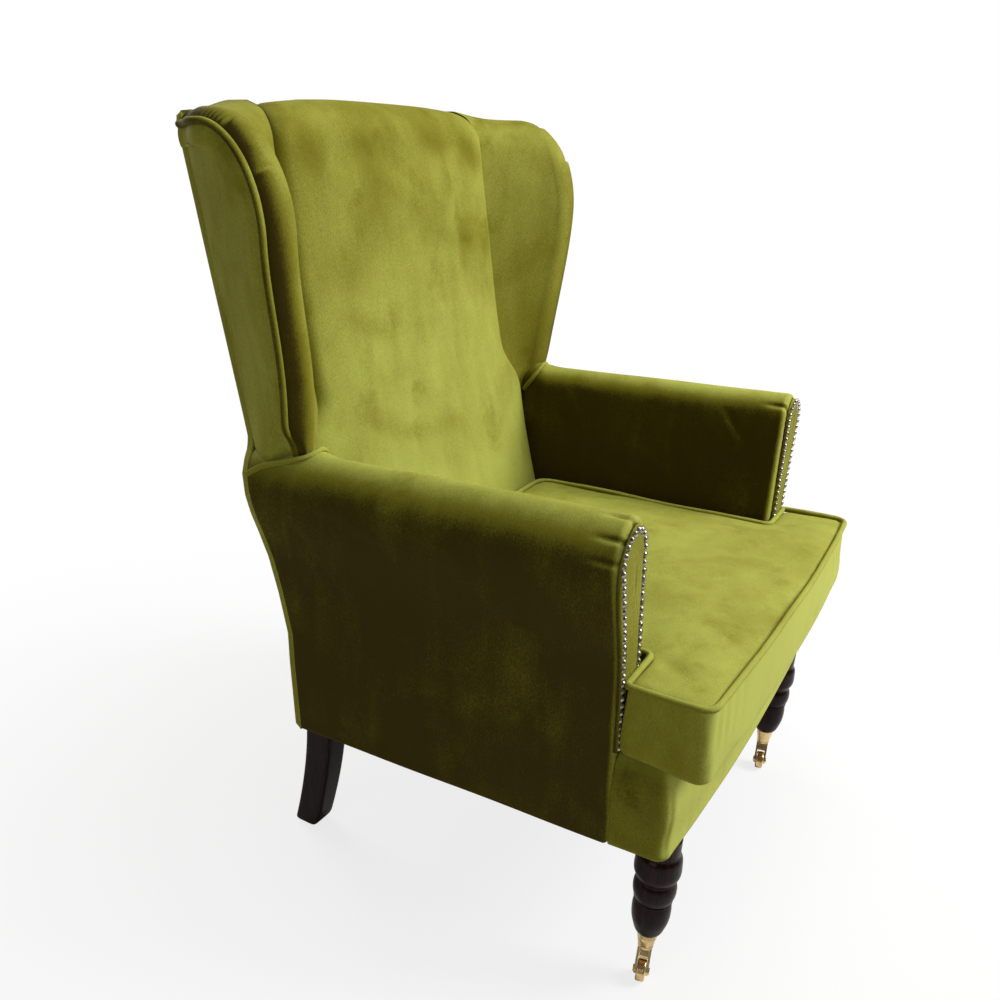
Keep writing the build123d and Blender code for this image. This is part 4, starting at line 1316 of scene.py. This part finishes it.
@dataclass
class Wing:
    """Wing: padded roll along its front and top, an inside face, an outside panel and piping between."""

    side: Side
    low: float = 0.600
    foot: float = 0.660
    nose_height: float = 0.930
    nose: float = 0.479
    sweep: float = 0.023
    top: float = 1.071
    round_run: float = 0.110
    half: float = 0.336
    flare: float = 0.036
    radius: float = 0.030
    cord: float = 0.0045
    count: int = 420
    seam_turn: float = -26.0
    panel_turn: float = 24.0
    arm_crest: float = 0.339
    pleats: Tuple[float, float] = (0.24, 0.50)
    end_turn: float = -150.0
    end_turn_over: float = 64.0
    root_x: float = 0.246
    root_top: float = 1.082
    root_sink: float = 0.016
    leave_pull: float = 0.055
    arrive_pull: float = 0.045
    tuck_bend: float = 0.006
    panel_rear: float = 0.3355
    panel_thick: float = 0.005

    def edge(self) -> Tuple[Array, Array]:
        """Front and top edge in side view, with the roll's sideways place and how far over the top it is.

        The front leans forward to the nose by a power of the rise, a quarter ellipse rounds it over,
        and the top runs back to the outside back.

        Returns:
            Edge points (count, 3) as x of the roll's middle, y, z; and share over the top (count,).
        """
        z = np.linspace(self.low, self.nose_height, 120)
        rise = np.clip((z - self.foot) / (self.nose_height - self.foot), 0.0, 1.0)
        front = np.c_[
            self.half + self.flare * ease(rise**1.25, 0.0, 1.0),
            self.nose + self.sweep * (1 - rise) ** 1.6,
            z,
            np.zeros(len(z)),
        ]
        turn = np.linspace(0.0, np.pi / 2, 80)[1:]
        over = np.c_[
            self.half + self.flare - 0.008 * (turn / (np.pi / 2)) ** 2,
            self.nose + self.round_run * (1 - np.cos(turn)),
            self.nose_height + (self.top - self.nose_height) * np.sin(turn),
            0.7 * turn / (np.pi / 2),
        ]
        back = np.linspace(0.0, 1.0, 40)[1:]
        rear_y = float(BACK.inner(self.top)) + 0.003
        run = np.c_[
            over[-1, 0] - 0.050 * ease(back, 0.0, 1.0) - 0.004 * back,
            over[-1, 1] + (rear_y - over[-1, 1]) * back,
            self.top - 0.004 * back**2,
            0.7 + 0.3 * back,
        ]
        table = np.vstack([front, over, run])
        return self._even(table)

    def _even(self, table: Array) -> Tuple[Array, Array]:
        """Edge table at equal steps of length, split into points and shares.

        Args:
            table: array (n, 4) of x, y, z and share over the top.

        Returns:
            Points (count, 3) and shares (count,).
        """
        length = lengths(table[:, :3])
        wanted = np.linspace(0.0, length[-1], self.count)
        even = np.stack([np.interp(wanted, length, table[:, k]) for k in range(4)], axis=1)
        return even[:, :3], even[:, 3]

    def inward(self, edge: Array) -> Array:
        """Unit direction into the wing at each edge point, across the edge in the side view."""
        heading = unit(np.gradient(edge[:, 1:], axis=0))
        return np.c_[np.zeros(len(edge)), heading[:, 1], -heading[:, 0]]

    def on_roll(self, degrees: float, swell: float = 0.0) -> Array:
        """Line along the roll at one turn about its middle: 0 outwards, -90 on the edge, -180 inwards.

        Args:
            degrees: the turn.
            swell: how far outside the roll the line runs.

        Returns:
            Array (count, 3).
        """
        edge, _ = self.edge()
        inward = self.inward(edge)
        middle = edge + self.radius * inward
        angle = math.radians(degrees)
        return middle + (self.radius + swell) * (math.cos(angle) * OUTWARD + math.sin(angle) * inward)

    def pad(self) -> Array:
        """Closed loops along the edge: round the roll, then a cubic across the inside face to the back pad.

        The roll's radius steps down at each pleat after a slow swell, as folded cloth overlaps.

        Returns:
            Array (count, points, 3).
        """
        edge, over = self.edge()
        inward = self.inward(edge)
        middle = edge + self.radius * inward
        last = self.end_turn + self.end_turn_over * ease(over, 0.20, 0.80)
        share = np.linspace(0.0, 1.0, 64)[None]
        turn = np.radians(self.seam_turn + (last[:, None] - self.seam_turn) * share)
        swell = self.gathers(over, turn)
        spokes = np.cos(turn)[..., None] * OUTWARD + np.sin(turn)[..., None] * inward[:, None]
        roll = middle[:, None] + (self.radius + swell)[..., None] * spokes
        high = np.clip(over / 0.85, 0.0, 1.0)
        rise = (self.root_top - self.nose_height) * high**0.9
        root_z = np.where(over > 0.0, self.nose_height + rise, edge[:, 2])
        ahead = 0.060 * (1 - np.sqrt(1 - np.clip((root_z - BACK.post_top) / 0.058, 0.0, 0.995) ** 2))
        root_y = BACK.pad(root_z) + self.root_sink + ahead
        root_y = root_y + (edge[-1, 1] - root_y) * ease(over, 0.78, 1.0)
        root = np.c_[np.full(self.count, self.root_x), root_y, root_z]
        start = roll[:, -1]
        leave = unit(roll[:, -1] - roll[:, -2]) * self.leave_pull
        arrive = np.array([-1.0, 0.25, 0.0]) * self.arrive_pull
        t = np.linspace(0.0, 1.0, 42)[1:][None, :, None]
        face = (
            (2 * t**3 - 3 * t**2 + 1) * start[:, None]
            + (t**3 - 2 * t**2 + t) * leave[:, None]
            + (3 * t**2 - 2 * t**3) * root[:, None]
            + (t**3 - t**2) * arrive
        )
        back = np.linspace(0.0, 1.0, 14)[1:-1][None, :, None]
        hidden = root[:, None] + (roll[:, :1] - root[:, None]) * back
        hidden = hidden + 0.012 * np.sin(np.pi * back) * inward[:, None]
        return self.tuck(np.concatenate([roll, face, hidden], axis=1))

    def tuck(self, points: Array) -> Array:
        """Draw the foot of the wing in, so that it goes down inside the arm's cover.

        Args:
            points: array (..., 3) of left-hand points.

        Returns:
            The points with x held, by a smooth minimum, under a limit that opens with height, sooner
            behind the roll.
        """
        behind = ease(points[..., 1], 0.525, 0.555)
        start = self.foot - 0.010 - 0.010 * behind
        rise = np.clip((points[..., 2] - start) / (0.120 - 0.015 * behind), 0.0, 1.0)
        limit = self.arm_crest + 0.012 * behind + 0.075 * rise * rise * (3.0 - 2.0 * rise)
        held = points.copy()
        spare = limit - points[..., 0]
        held[..., 0] = limit - 0.5 * (spare + np.sqrt(spare * spare + self.tuck_bend**2))
        return held

    def gathers(self, over: Array, turn: Array) -> Array:
        """Swell of the roll: overlapped pleats round the corner and fine gathers beside the seam.

        Args:
            over: share over the top at each edge point.
            turn: angles round the roll at each edge point.

        Returns:
            Array (edge points, angles) of metres.
        """
        skew = over[:, None] + 0.020 * np.sin(turn)
        swell = np.zeros(turn.shape)
        for at in self.pleats:
            past = 0.5 + 0.5 * np.tanh((skew - at) / 0.007)
            before = np.exp(-np.maximum(0.0, at - skew) / 0.10) * (1.0 - past)
            after = np.exp(-np.maximum(0.0, skew - at) / 0.022) * past
            swell += 0.0022 * before - 0.0040 * after
        across = (turn - turn[:, :1]) / (turn[:, -1:] - turn[:, :1])
        swell *= np.sin(np.pi * np.clip(across / 0.85, 0.0, 1.0)) ** 2
        near = np.exp(-(((turn - math.radians(self.seam_turn)) / 0.55) ** 2))
        fine = 0.0011 * np.sin(over * 210.0) * ease(over, 0.45, 0.60) * (1.0 - ease(over, 0.93, 1.0))
        return swell + fine[:, None] * near

    def panel(self) -> Array:
        """Outside panel: lines round the roll from the seam, then straight back with a slight swell.

        Returns:
            Array (count, points, 3), a closed thin slab.
        """
        _, over = self.edge()
        turns = np.linspace(self.seam_turn, self.panel_turn, 12)
        start = np.stack([self.on_roll(turn, -0.0012) for turn in turns], axis=1)
        rear_z = np.minimum(start[:, -1, 2], 1.050)
        rear = np.c_[np.full(self.count, self.panel_rear), BACK.inner(rear_z) - 0.0005, rear_z]
        t = np.linspace(0.0, 1.0, 36)[None, 1:, None]
        flat = start[:, -1:] + (rear - start[:, -1])[:, None] * t
        puff = 0.0030 * np.sin(np.pi * t[..., 0]) ** 0.7 * (1.0 - ease(over, 0.85, 1.0))[:, None]
        flat = flat + puff[..., None] * OUTWARD
        face = self.tuck(np.concatenate([start, flat], axis=1))
        inner = face[:, ::-1] - self.panel_thick * OUTWARD
        return np.concatenate([face, inner], axis=1)

    def build(self) -> None:
        """Make the wing's pad, outside panel and piping."""
        mirror = self.side.mirror
        word = self.side.word
        pad = grid_mesh(f"wing_pad_{word}", self.pad() * mirror)
        relief(pad, lambda p: 0.0012 * sway(p, 41, 0.16))
        # Painted light on faces turned in towards the seat, painted shade on the roll's outward front.
        nap = Nap(low=0.04, high=0.60, lean=-0.55 * self.side.value)
        upholster(pad, [f"inside_wing_{word}"], nap, 0.85)
        panel = grid_mesh(f"wing_panel_{word}", self.panel() * mirror)
        relief(panel, lambda p: 0.0008 * sway(p, 43, 0.14))
        upholster(panel, [f"outside_wing_{word}"], Nap(low=0.54), 0.5)
        seam = self.tuck(self.on_roll(self.seam_turn, 0.0022))[:-3]
        cord = grid_mesh(f"wing_cord_{word}", tube(seam * mirror, self.cord, 12, False))
        trim(cord, [f"wing_piping_{word}"], Nap(low=0.16, high=0.66))


@dataclass
class BackCover:
    """Outside back: one tight panel from the base to the rolled top, over the ends of the arms and wings."""

    base: float = 0.2325
    top: float = 1.067
    thick: float = 0.0130
    edge: float = 0.005
    turnover: float = 0.045

    def half_width(self, z: Array) -> Array:
        """Half width at a height: the outline of the arm's back end, then the straight wing edge.

        Args:
            z: heights.

        Returns:
            Half widths of the same shape.
        """
        outline = np.array([
            (0.232, 0.340), (0.345, 0.3445), (0.450, 0.3442), (0.505, 0.3475), (0.541, 0.3545),
            (0.572, 0.3615), (0.597, 0.3640), (0.6245, 0.3605), (0.643, 0.350), (0.654, 0.341),
            (0.668, 0.3352), (0.700, 0.335), (1.100, 0.335),
        ])
        return np.interp(z, outline[:, 0], outline[:, 1])

    def shell(self) -> Array:
        """Lines across the back from base to top: a closed slab whose rim curves forward to the frame.

        Near the top its hidden side comes forward between the wings, to close the space beside the pad.

        Returns:
            Array (lines, points, 3).
        """
        share = np.linspace(0.0, 1.0, 150)
        z = self.base + (self.top - self.base) * share
        u = np.sin(np.linspace(-np.pi / 2, np.pi / 2, 110))
        x = self.half_width(z)[:, None] * u[None]
        shoulder = 0.004 * ease(z, 1.050, 1.067)[:, None] * u[None] ** 4
        x = x - np.sign(u)[None] * shoulder
        height = z[:, None] + 0.013 * ease(z, 0.99, 1.06)[:, None] * (1.0 - np.abs(u[None]) ** 2.2)
        gap = np.minimum(self.half_width(z)[:, None] * (1.0 - np.abs(u[None])), (z - self.base)[:, None])
        gap = np.minimum(gap, (self.top - z)[:, None])
        rim = np.sqrt(np.clip(1.0 - (1.0 - np.clip(gap / self.edge, 0.0, 1.0)) ** 2, 0.0, 1.0))
        outer = BACK.inner(height) + self.thick * (0.12 + 0.88 * rim) + 0.003 * rim * (1 - u[None] ** 2)
        over = self.turnover * ease(z, 0.985, 1.020)[:, None] * (1.0 - ease(np.abs(x), 0.285, 0.315))
        inner = BACK.inner(height) + 0.0004 - over
        face = np.stack([x, outer, height], axis=-1)
        hidden = np.stack([x, inner, height - 0.25 * over], axis=-1)[:, ::-1]
        return np.concatenate([face, hidden], axis=1)

    def build(self) -> None:
        """Make the outside back."""
        cover = grid_mesh("outside_back_cover", self.shell())
        relief(cover, lambda p: 0.0009 * sway(p, 51, 0.24))
        upholster(cover, ["outside_back"], Nap(low=0.55), 0.4)


@dataclass
class Apron:
    """Front border: padded cover round the front of the seat box, with its corners sewn."""

    half: float = 0.3400
    front: float = -0.0260
    rear: float = 0.0494
    bow: float = 0.010
    lip: float = 0.055
    corner: float = 0.016

    def path(self) -> Array:
        """Plan line from one arm, round both front corners to the other, with the front bowed forward.

        Returns:
            Array (points, 2).
        """
        side = np.linspace(0.0, 1.0, 40)
        turn = np.linspace(0.0, np.pi / 2, 24)
        back_run = np.c_[np.full(40, self.half), self.rear + (self.front + self.corner - self.rear) * side]
        bend = np.c_[
            self.half - self.corner * (1 - np.cos(turn)), self.front + self.corner * (1 - np.sin(turn))
        ]
        middle = np.c_[np.linspace(self.half - self.corner, 0.0, 120), np.full(120, self.front)]
        one = np.vstack([back_run[:-1], bend[:-1], middle])
        line = np.vstack([one[:-1], one[::-1] * np.array([-1.0, 1.0])])
        ahead = 1.0 - ease(line[:, 1], self.front, self.front + self.corner)
        line[:, 1] -= self.bow * ahead * (1.0 - (line[:, 0] / self.half) ** 2)
        return resample(line, 460)

    def profile(self) -> Array:
        """Closed section: inset from the path against height, padded face, rounded top, lip and return.

        Returns:
            Array (points, 2).
        """
        face = [
            (0.0035, 0.2322), (0.0006, 0.2360), (0.0, 0.2480), (-0.0024, 0.2950), (0.0, 0.3400),
            (0.0042, 0.3560), (0.0150, 0.3660), (0.0300, 0.3690), (self.lip, 0.3692),
        ]
        rear = [(self.lip, 0.3640), (0.0330, 0.3600), (0.0120, 0.3480), (0.0120, 0.2330), (0.0060, 0.2324)]
        return np.vstack([spline(face, 70), resample(np.array(rear), 30)])

    def shell(self) -> Array:
        """Profile carried along the plan line, inset across it.

        Returns:
            Array (path points, profile points, 3).
        """
        path = self.path()
        heading = unit(np.gradient(path, axis=0))
        inward = np.c_[heading[:, 1], -heading[:, 0]]
        profile = self.profile()
        spot = path[:, None] + inward[:, None] * profile[None, :, :1]
        height = np.broadcast_to(profile[None, :, 1:], (len(path), len(profile), 1))
        return np.concatenate([spot, height], axis=-1)

    def seams(self, p: Array) -> Array:
        """Sewn line down each front corner, deeper where the top is folded in, and small pulls beside it.

        Args:
            p: body-frame points.

        Returns:
            Metres outwards at each point.
        """
        q = np.c_[np.abs(p[:, 0]), p[:, 1], p[:, 2]]
        fore = 1.0 - ease(q[:, 1], self.front + 0.004, self.front + 0.016)
        line = crease(q[:, ::2], (0.3335, 0.2260), (0.3345, 0.3520), 0.0026)
        fold = crease(q[:, ::2], (0.3340, 0.3320), (0.3240, 0.3640), 0.0050)
        pull = crease(q[:, ::2], (0.3300, 0.3300), (0.2900, 0.3200), 0.0090)
        return 0.0010 * sway(p, 61, 0.15) - fore * (0.0009 * line + 0.0008 * fold + 0.0005 * pull)

    def build(self) -> None:
        """Make the front border."""
        cover = grid_mesh("front_border_cover", self.shell())
        relief(cover, self.seams)
        # Painted light on the border's front faces, painted shade on its returns.
        upholster(cover, ["front_border"], Nap(low=0.34, front=0.16), 0.6)


@dataclass
class SeatDeck:
    """Padded platform under the cushion, black cloth under the frame, and the back's webbing."""

    half: float = 0.2612
    front: float = 0.0510
    rear: float = 0.4650
    top: float = 0.3695
    bottom: float = 0.3410
    under: float = 0.2312
    cloth_half: float = 0.3300
    cloth_front: float = -0.0140
    cloth_rear: float = 0.5400
    cloth_cells: Tuple[int, int] = (132, 110)
    straps: int = 5
    strap_half: float = 0.292
    strap_width: float = 0.050

    def platform(self) -> bpy.types.Object:
        """Platform: a superellipse plan lifted through a pillow profile.

        Returns:
            The pad.
        """
        plan = squircle(200, 0.16)
        size = np.array([self.half, (self.rear - self.front) / 2])
        middle = np.array([0.0, (self.rear + self.front) / 2])
        low, high = self.bottom, self.top
        profile = (
            (0.02, low), (0.6, low), (0.985, low), (1.0, low + 0.006), (1.0, high - 0.008),
            (0.975, high - 0.002), (0.8, high - 0.0006), (0.4, high), (0.02, high),
        )
        rings = [np.c_[middle + plan * size * draw, np.full(len(plan), z)] for draw, z in profile]
        return grid_mesh("seat_platform_pad", np.stack(rings))

    def cloth(self) -> Tuple[bpy.types.Object, float]:
        """Black cloth: a sagging grid, z = under - sag (1 - u squared)(1 - v squared), open round the legs.

        Returns:
            The sheet and its flat area in square metres.
        """
        across, along = self.cloth_cells
        u, v = np.meshgrid(np.linspace(-1.0, 1.0, across + 1), np.linspace(-1.0, 1.0, along + 1))
        x = u * self.cloth_half
        y = (self.cloth_front + self.cloth_rear) / 2 + v * (self.cloth_rear - self.cloth_front) / 2
        z = self.under - 0.004 * (1 - u**2) * (1 - v**2)
        points = BODY.world(np.stack([x, y, z], axis=-1).reshape(-1, 3))
        index = np.arange(u.size).reshape(u.shape)
        quads = grid_faces(index)
        middles = points[quads].mean(axis=1)
        turned = np.hypot(np.abs(middles[:, 0]) - FrontLeg.x, middles[:, 1] - FrontLeg.y) < 0.031
        swept = (np.abs(np.abs(middles[:, 0]) - 0.298) < 0.024) & (middles[:, 1] > 0.172)
        kept = quads[~(turned | swept)]
        cell = (2 * self.cloth_half / across) * ((self.cloth_rear - self.cloth_front) / along)
        return plain_mesh("under_cloth", points, kept.tolist()), cell * len(kept)

    def webbing(self) -> bpy.types.Object:
        """Straps across the posts: closed flat loops at even heights up the raked webbing line.

        Returns:
            The straps, as one mesh.
        """
        x = np.linspace(-self.strap_half, self.strap_half, 40)[:, None]
        edges = np.array([(-0.5, -1.0), (0.5, -1.0), (0.5, 0.0), (-0.5, 0.0)])
        faces, points = [], []
        for rise in np.linspace(0.4825, 1.0025, self.straps):
            z = rise + edges[:, 0] * self.strap_width
            y = BACK.inner(z) - 0.0302 + edges[:, 1] * 0.0016
            loop = np.stack(np.broadcast_arrays(x, y, z), axis=-1).reshape(-1, 3)
            index = (len(points) * len(loop) + np.arange(len(loop))).reshape(len(x), -1)
            faces += grid_faces(ringed(index)).tolist() + index[[0, -1]].tolist()
            points.append(loop)
        return plain_mesh("back_straps", BODY.world(np.vstack(points)), faces)

    def build(self) -> None:
        """Make the platform, the cloth under the seat and the straps."""
        pad = self.platform()
        relief(pad, lambda p: 0.0006 * sway(p, 71, 0.12) - 0.0006)
        finish(pad, PLATFORM_CLOTH, "platform_cloth", ["seat_platform"], fill=0.8)
        cloth, area = self.cloth()
        finish(cloth, DUST_CLOTH, "dust_cloth")
        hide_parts("dust_cover")
        finish(self.webbing(), WEBBING, "webbing", ["back_webbing"])
        LOG.info("seat deck: under cloth %.3f square metres, %d straps", area, self.straps)


@dataclass
class FrontLeg:
    """Turned front leg: collar, neck, bead, fillets, long swell and toe over the castor cup."""

    side: Side
    x = 0.284
    y = -0.32807

    def profile(self) -> Array:
        """Radius against height, a spline through the turner's stations with two sharp fillets.

        Returns:
            Array (points, 2).
        """
        toe = [
            (0.0152, 0.0732), (0.0178, 0.0765), (0.0212, 0.0850), (0.0248, 0.0990), (0.0258, 0.1130),
            (0.0250, 0.1240), (0.0238, 0.1292),
        ]
        fillet = [(0.0254, 0.1300), (0.0256, 0.1312), (0.0241, 0.1322), (0.0242, 0.1330), (0.0258, 0.1340)]
        bead = [(0.0258, 0.1345), (0.0278, 0.1420), (0.0285, 0.1500), (0.0276, 0.1580), (0.0256, 0.1632)]
        collar = [
            (0.0250, 0.1645), (0.0266, 0.1680), (0.0298, 0.1750), (0.0308, 0.1850), (0.0302, 0.1950),
            (0.0284, 0.2040), (0.0262, 0.2080), (0.0258, 0.2120), (0.0258, 0.2330),
        ]
        low, high = (0.0020, 0.0726), (0.0020, 0.2332)
        return np.vstack([low, spline(toe, 50), fillet, spline(bead, 36), spline(collar, 60), high])

    def build(self) -> None:
        """Turn the profile about the leg's upright line."""
        turn = np.linspace(0.0, 2 * np.pi, 72, endpoint=False)
        profile = self.profile()
        radius, height = profile[:, :1], profile[:, 1:]
        x = self.side.value * self.x + radius * np.cos(turn)[None]
        y = self.y + radius * np.sin(turn)[None]
        points = np.stack([x, y, np.broadcast_to(height, x.shape)], axis=-1)
        leg = grid_mesh(f"turned_leg_{self.side.word}", BODY.local(points))
        finish(leg, LEG_WOOD, "leg_wood", [f"front_leg_{self.side.word}"])


@dataclass
class RearLeg:
    """Swept rear leg: a rounded square section carried down a curve to the rear."""

    side: Side
    x: float = 0.298
    foot_in: float = 0.010
    top_y: float = 0.528
    sweep: float = 0.0485
    top_size: Tuple[float, float] = (0.044, 0.046)
    foot_size: Tuple[float, float] = (0.038, 0.044)
    height: float = 0.232

    def build(self) -> None:
        """Loft superellipses from the seat box to the floor, with the foot's edge eased."""
        share = np.concatenate([np.linspace(0.0, 0.96, 60), [0.975, 0.985, 0.993, 0.998, 1.0]])
        z = self.height * (1.0 - share)
        plan = squircle(96, 0.22)
        size = np.array(self.top_size) + (np.array(self.foot_size) - np.array(self.top_size)) * share[:, None]
        ease_in = 0.004 * np.maximum(0.0, (share - 0.96) / 0.04) ** 2
        top = BODY.world(np.array([self.x, self.top_y, self.height]))
        foot_y = self.top_y + self.sweep - BODY.pivot
        middle_y = top[1] + (foot_y - top[1]) * share**1.55
        middle_x = self.x - self.foot_in * share
        half = size / 2 - ease_in[:, None]
        x = middle_x[:, None] + half[:, :1] * plan[None, :, 0]
        y = middle_y[:, None] + half[:, 1:] * plan[None, :, 1]
        front = np.maximum(0.0, -plan[None, :, 1]) * np.maximum(0.0, (share - 0.90) / 0.10)[:, None] ** 2
        y = y + 0.007 * front
        lift = (top[2] - 0.0005) / self.height
        points = np.stack([x * self.side.value, y, np.broadcast_to(z[:, None] * lift, x.shape)], axis=-1)
        leg = grid_mesh(f"swept_leg_{self.side.word}", BODY.local(points))
        finish(leg, LEG_WOOD, "leg_wood", [f"rear_leg_{self.side.word}"])


@dataclass
class CastorWeb:
    """Cast web that joins the cheeks of a castor's horn above the wheel."""

    side: Side
    heading: float = math.radians(193.0)
    half: float = 0.0067
    section: Tuple[Tuple[float, float], ...] = (
        (-0.0032, 0.0466), (0.0032, 0.0466), (0.0066, 0.0400), (0.0094, 0.0352), (0.0104, 0.0326),
        (0.0066, 0.0308), (0.0030, 0.0284), (0.0014, 0.0315), (0.0000, 0.0360), (-0.0014, 0.0405),
    )

    def build(self) -> None:
        """Carry the section, trail against height, across the fork."""
        corners = np.array(self.section + self.section[:1])
        loop = resample(corners, 81)[:-1]
        across = np.linspace(-self.half, self.half, 9)[:, None]
        sin, cos = math.sin(self.heading), math.cos(self.heading)
        x = self.side.value * FrontLeg.x + cos * loop[None, :, 0] + sin * across
        y = FrontLeg.y + sin * loop[None, :, 0] - cos * across
        points = np.stack([x, y, np.broadcast_to(loop[None, :, 1], x.shape)], axis=-1)
        web = grid_mesh(f"castor_web_{self.side.word}", BODY.local(points))
        finish(web, BRASS, "brass", body=f"castor_{self.side.word}")


@dataclass
class Hardware:
    """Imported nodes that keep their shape: castors, nails, springs and the beech frame."""

    finishes: Dict[str, object] = field(default_factory=lambda: {
        "brass": BRASS, "nail_metal": NAIL_METAL, "spring_steel": SPRING_STEEL, "frame_wood": FRAME_WOOD,
    })

    def build(self) -> None:
        """Dress each of those nodes by its slot in the record."""
        for row in frame["record"]["subparts"]:
            finish = self.finishes.get(row["material_slot"])
            if finish is not None:
                WARDROBE.dress(frame["nodes"][row["node"]], finish)
        LOG.info("hardware dressed: %s", ", ".join(self.finishes))


@dataclass
class Studio:
    """Pale floor, soft lamps and the camera of the photograph."""

    position: Point = (-1.26239, -0.59106, 1.04968)
    turn: Point = (65.66945, -2.68805, -59.15786)
    lens: float = 34.93
    shift: Tuple[float, float] = (0.0242, 0.0557)
    paper: float = 0.86
    sky: float = 0.13

    def camera(self) -> None:
        """Camera at the place and angle solved from the photograph."""
        data = bpy.data.cameras.new("photo_camera")
        data.lens = self.lens
        data.sensor_width = 36.0
        data.shift_x, data.shift_y = self.shift
        eye = bpy.data.objects.new("photo_camera", data)
        eye.location = self.position
        eye.rotation_euler = [math.radians(a) for a in self.turn]
        bpy.context.scene.collection.objects.link(eye)
        bpy.context.scene.camera = eye

    def lamp(self, name: str, place: Point, aim: Point, size: float, power: float) -> None:
        """Square soft lamp at a place, turned to a point.

        Args:
            name: name of the lamp.
            place: where it hangs.
            aim: where it points.
            size: side of the square.
            power: watts.
        """
        data = bpy.data.lights.new(name, "AREA")
        data.shape = "SQUARE"
        data.size = size
        data.energy = power
        light = bpy.data.objects.new(name, data)
        light.location = place
        away = np.array(place) - np.array(aim)
        flat = math.hypot(away[0], away[1])
        light.rotation_euler = (math.atan2(flat, away[2]), 0.0, math.atan2(away[1], away[0]) + math.pi / 2)
        bpy.context.scene.collection.objects.link(light)

    def floor(self) -> None:
        """Pale floor, a flat grid, that shows nearly white to the camera and keeps the shadow."""
        line = np.linspace(-9.0, 9.0, 13)
        x, y = np.meshgrid(line, line)
        points = np.stack([x, y, np.zeros_like(x)], axis=-1).reshape(-1, 3)
        index = np.arange(x.size).reshape(x.shape)
        floor = plain_mesh("studio_floor", points, grid_faces(index).tolist())
        sheet = NodeSheet(bpy.data.materials.new("studio_paper"))
        grain = sheet.noise(sheet.place(), 2.0, 2.0)
        tint = sheet.blend(grain, (self.paper,) * 3, (self.paper + 0.02,) * 3)
        matt = sheet.node("ShaderNodeBsdfDiffuse", {}, {"Color": tint})
        glow = sheet.node("ShaderNodeEmission", {}, {"Color": WHITE, "Strength": 1.0})
        seen = sheet.node("ShaderNodeLightPath", {}, {}, 0)
        away = sheet.node("ShaderNodeVectorMath", {"operation": "LENGTH"}, {0: sheet.place()}, 1)
        share = seen * sheet.span(away, 0.55, 1.60, 0.78, 1.0)
        both = sheet.node("ShaderNodeMixShader", {}, {0: share, 1: matt, 2: glow})
        sheet.node("ShaderNodeOutputMaterial", {}, {"Surface": both})
        floor.data.materials.append(sheet.owner)

    def world(self) -> None:
        """White surround for the camera, straight or through glass, and a grey glow for all else."""
        world = bpy.data.worlds.new("studio_world")
        bpy.context.scene.world = world
        sheet = NodeSheet(world)
        straight = sheet.node("ShaderNodeLightPath", {}, {}, "Is Camera Ray")
        through = sheet.node("ShaderNodeLightPath", {}, {}, "Is Transmission Ray")
        seen = sheet.node("ShaderNodeMath", {"operation": "MAXIMUM"}, {0: straight, 1: through})
        level = sheet.node("ShaderNodeMapRange", {}, {"Value": seen, "To Min": self.sky, "To Max": 1.0})
        glow = sheet.node("ShaderNodeBackground", {}, {"Color": WHITE, "Strength": level})
        sheet.node("ShaderNodeOutputWorld", {}, {"Surface": glow})

    def build(self) -> None:
        """Set up the whole studio."""
        self.camera()
        self.floor()
        self.world()
        middle = (0.0, 0.0, 0.55)
        self.lamp("key", (1.35, -2.35, 2.25), middle, 1.5, 98.0)
        self.lamp("top", (0.15, -0.10, 2.90), (0.0, 0.0, 0.4), 1.6, 30.0)
        self.lamp("near", (-2.60, 0.10, 1.30), middle, 1.4, 9.0)
        self.lamp("rear", (0.60, 2.70, 1.90), middle, 1.8, 40.0)
        bpy.context.scene.view_settings.view_transform = "Standard"


def main() -> None:
    """Build every sub-assembly in order."""
    logging.basicConfig(level=logging.INFO, format="%(name)s: %(message)s")
    Studio().build()
    SeatCushion().build()
    BackPad().build()
    for side in Side:
        Arm(side).build()
        Wing(side).build()
        FrontLeg(side).build()
        RearLeg(side).build()
        CastorWeb(side).build()
    BackCover().build()
    Apron().build()
    SeatDeck().build()
    Hardware().build()


if __name__ == "__main__":
    main()
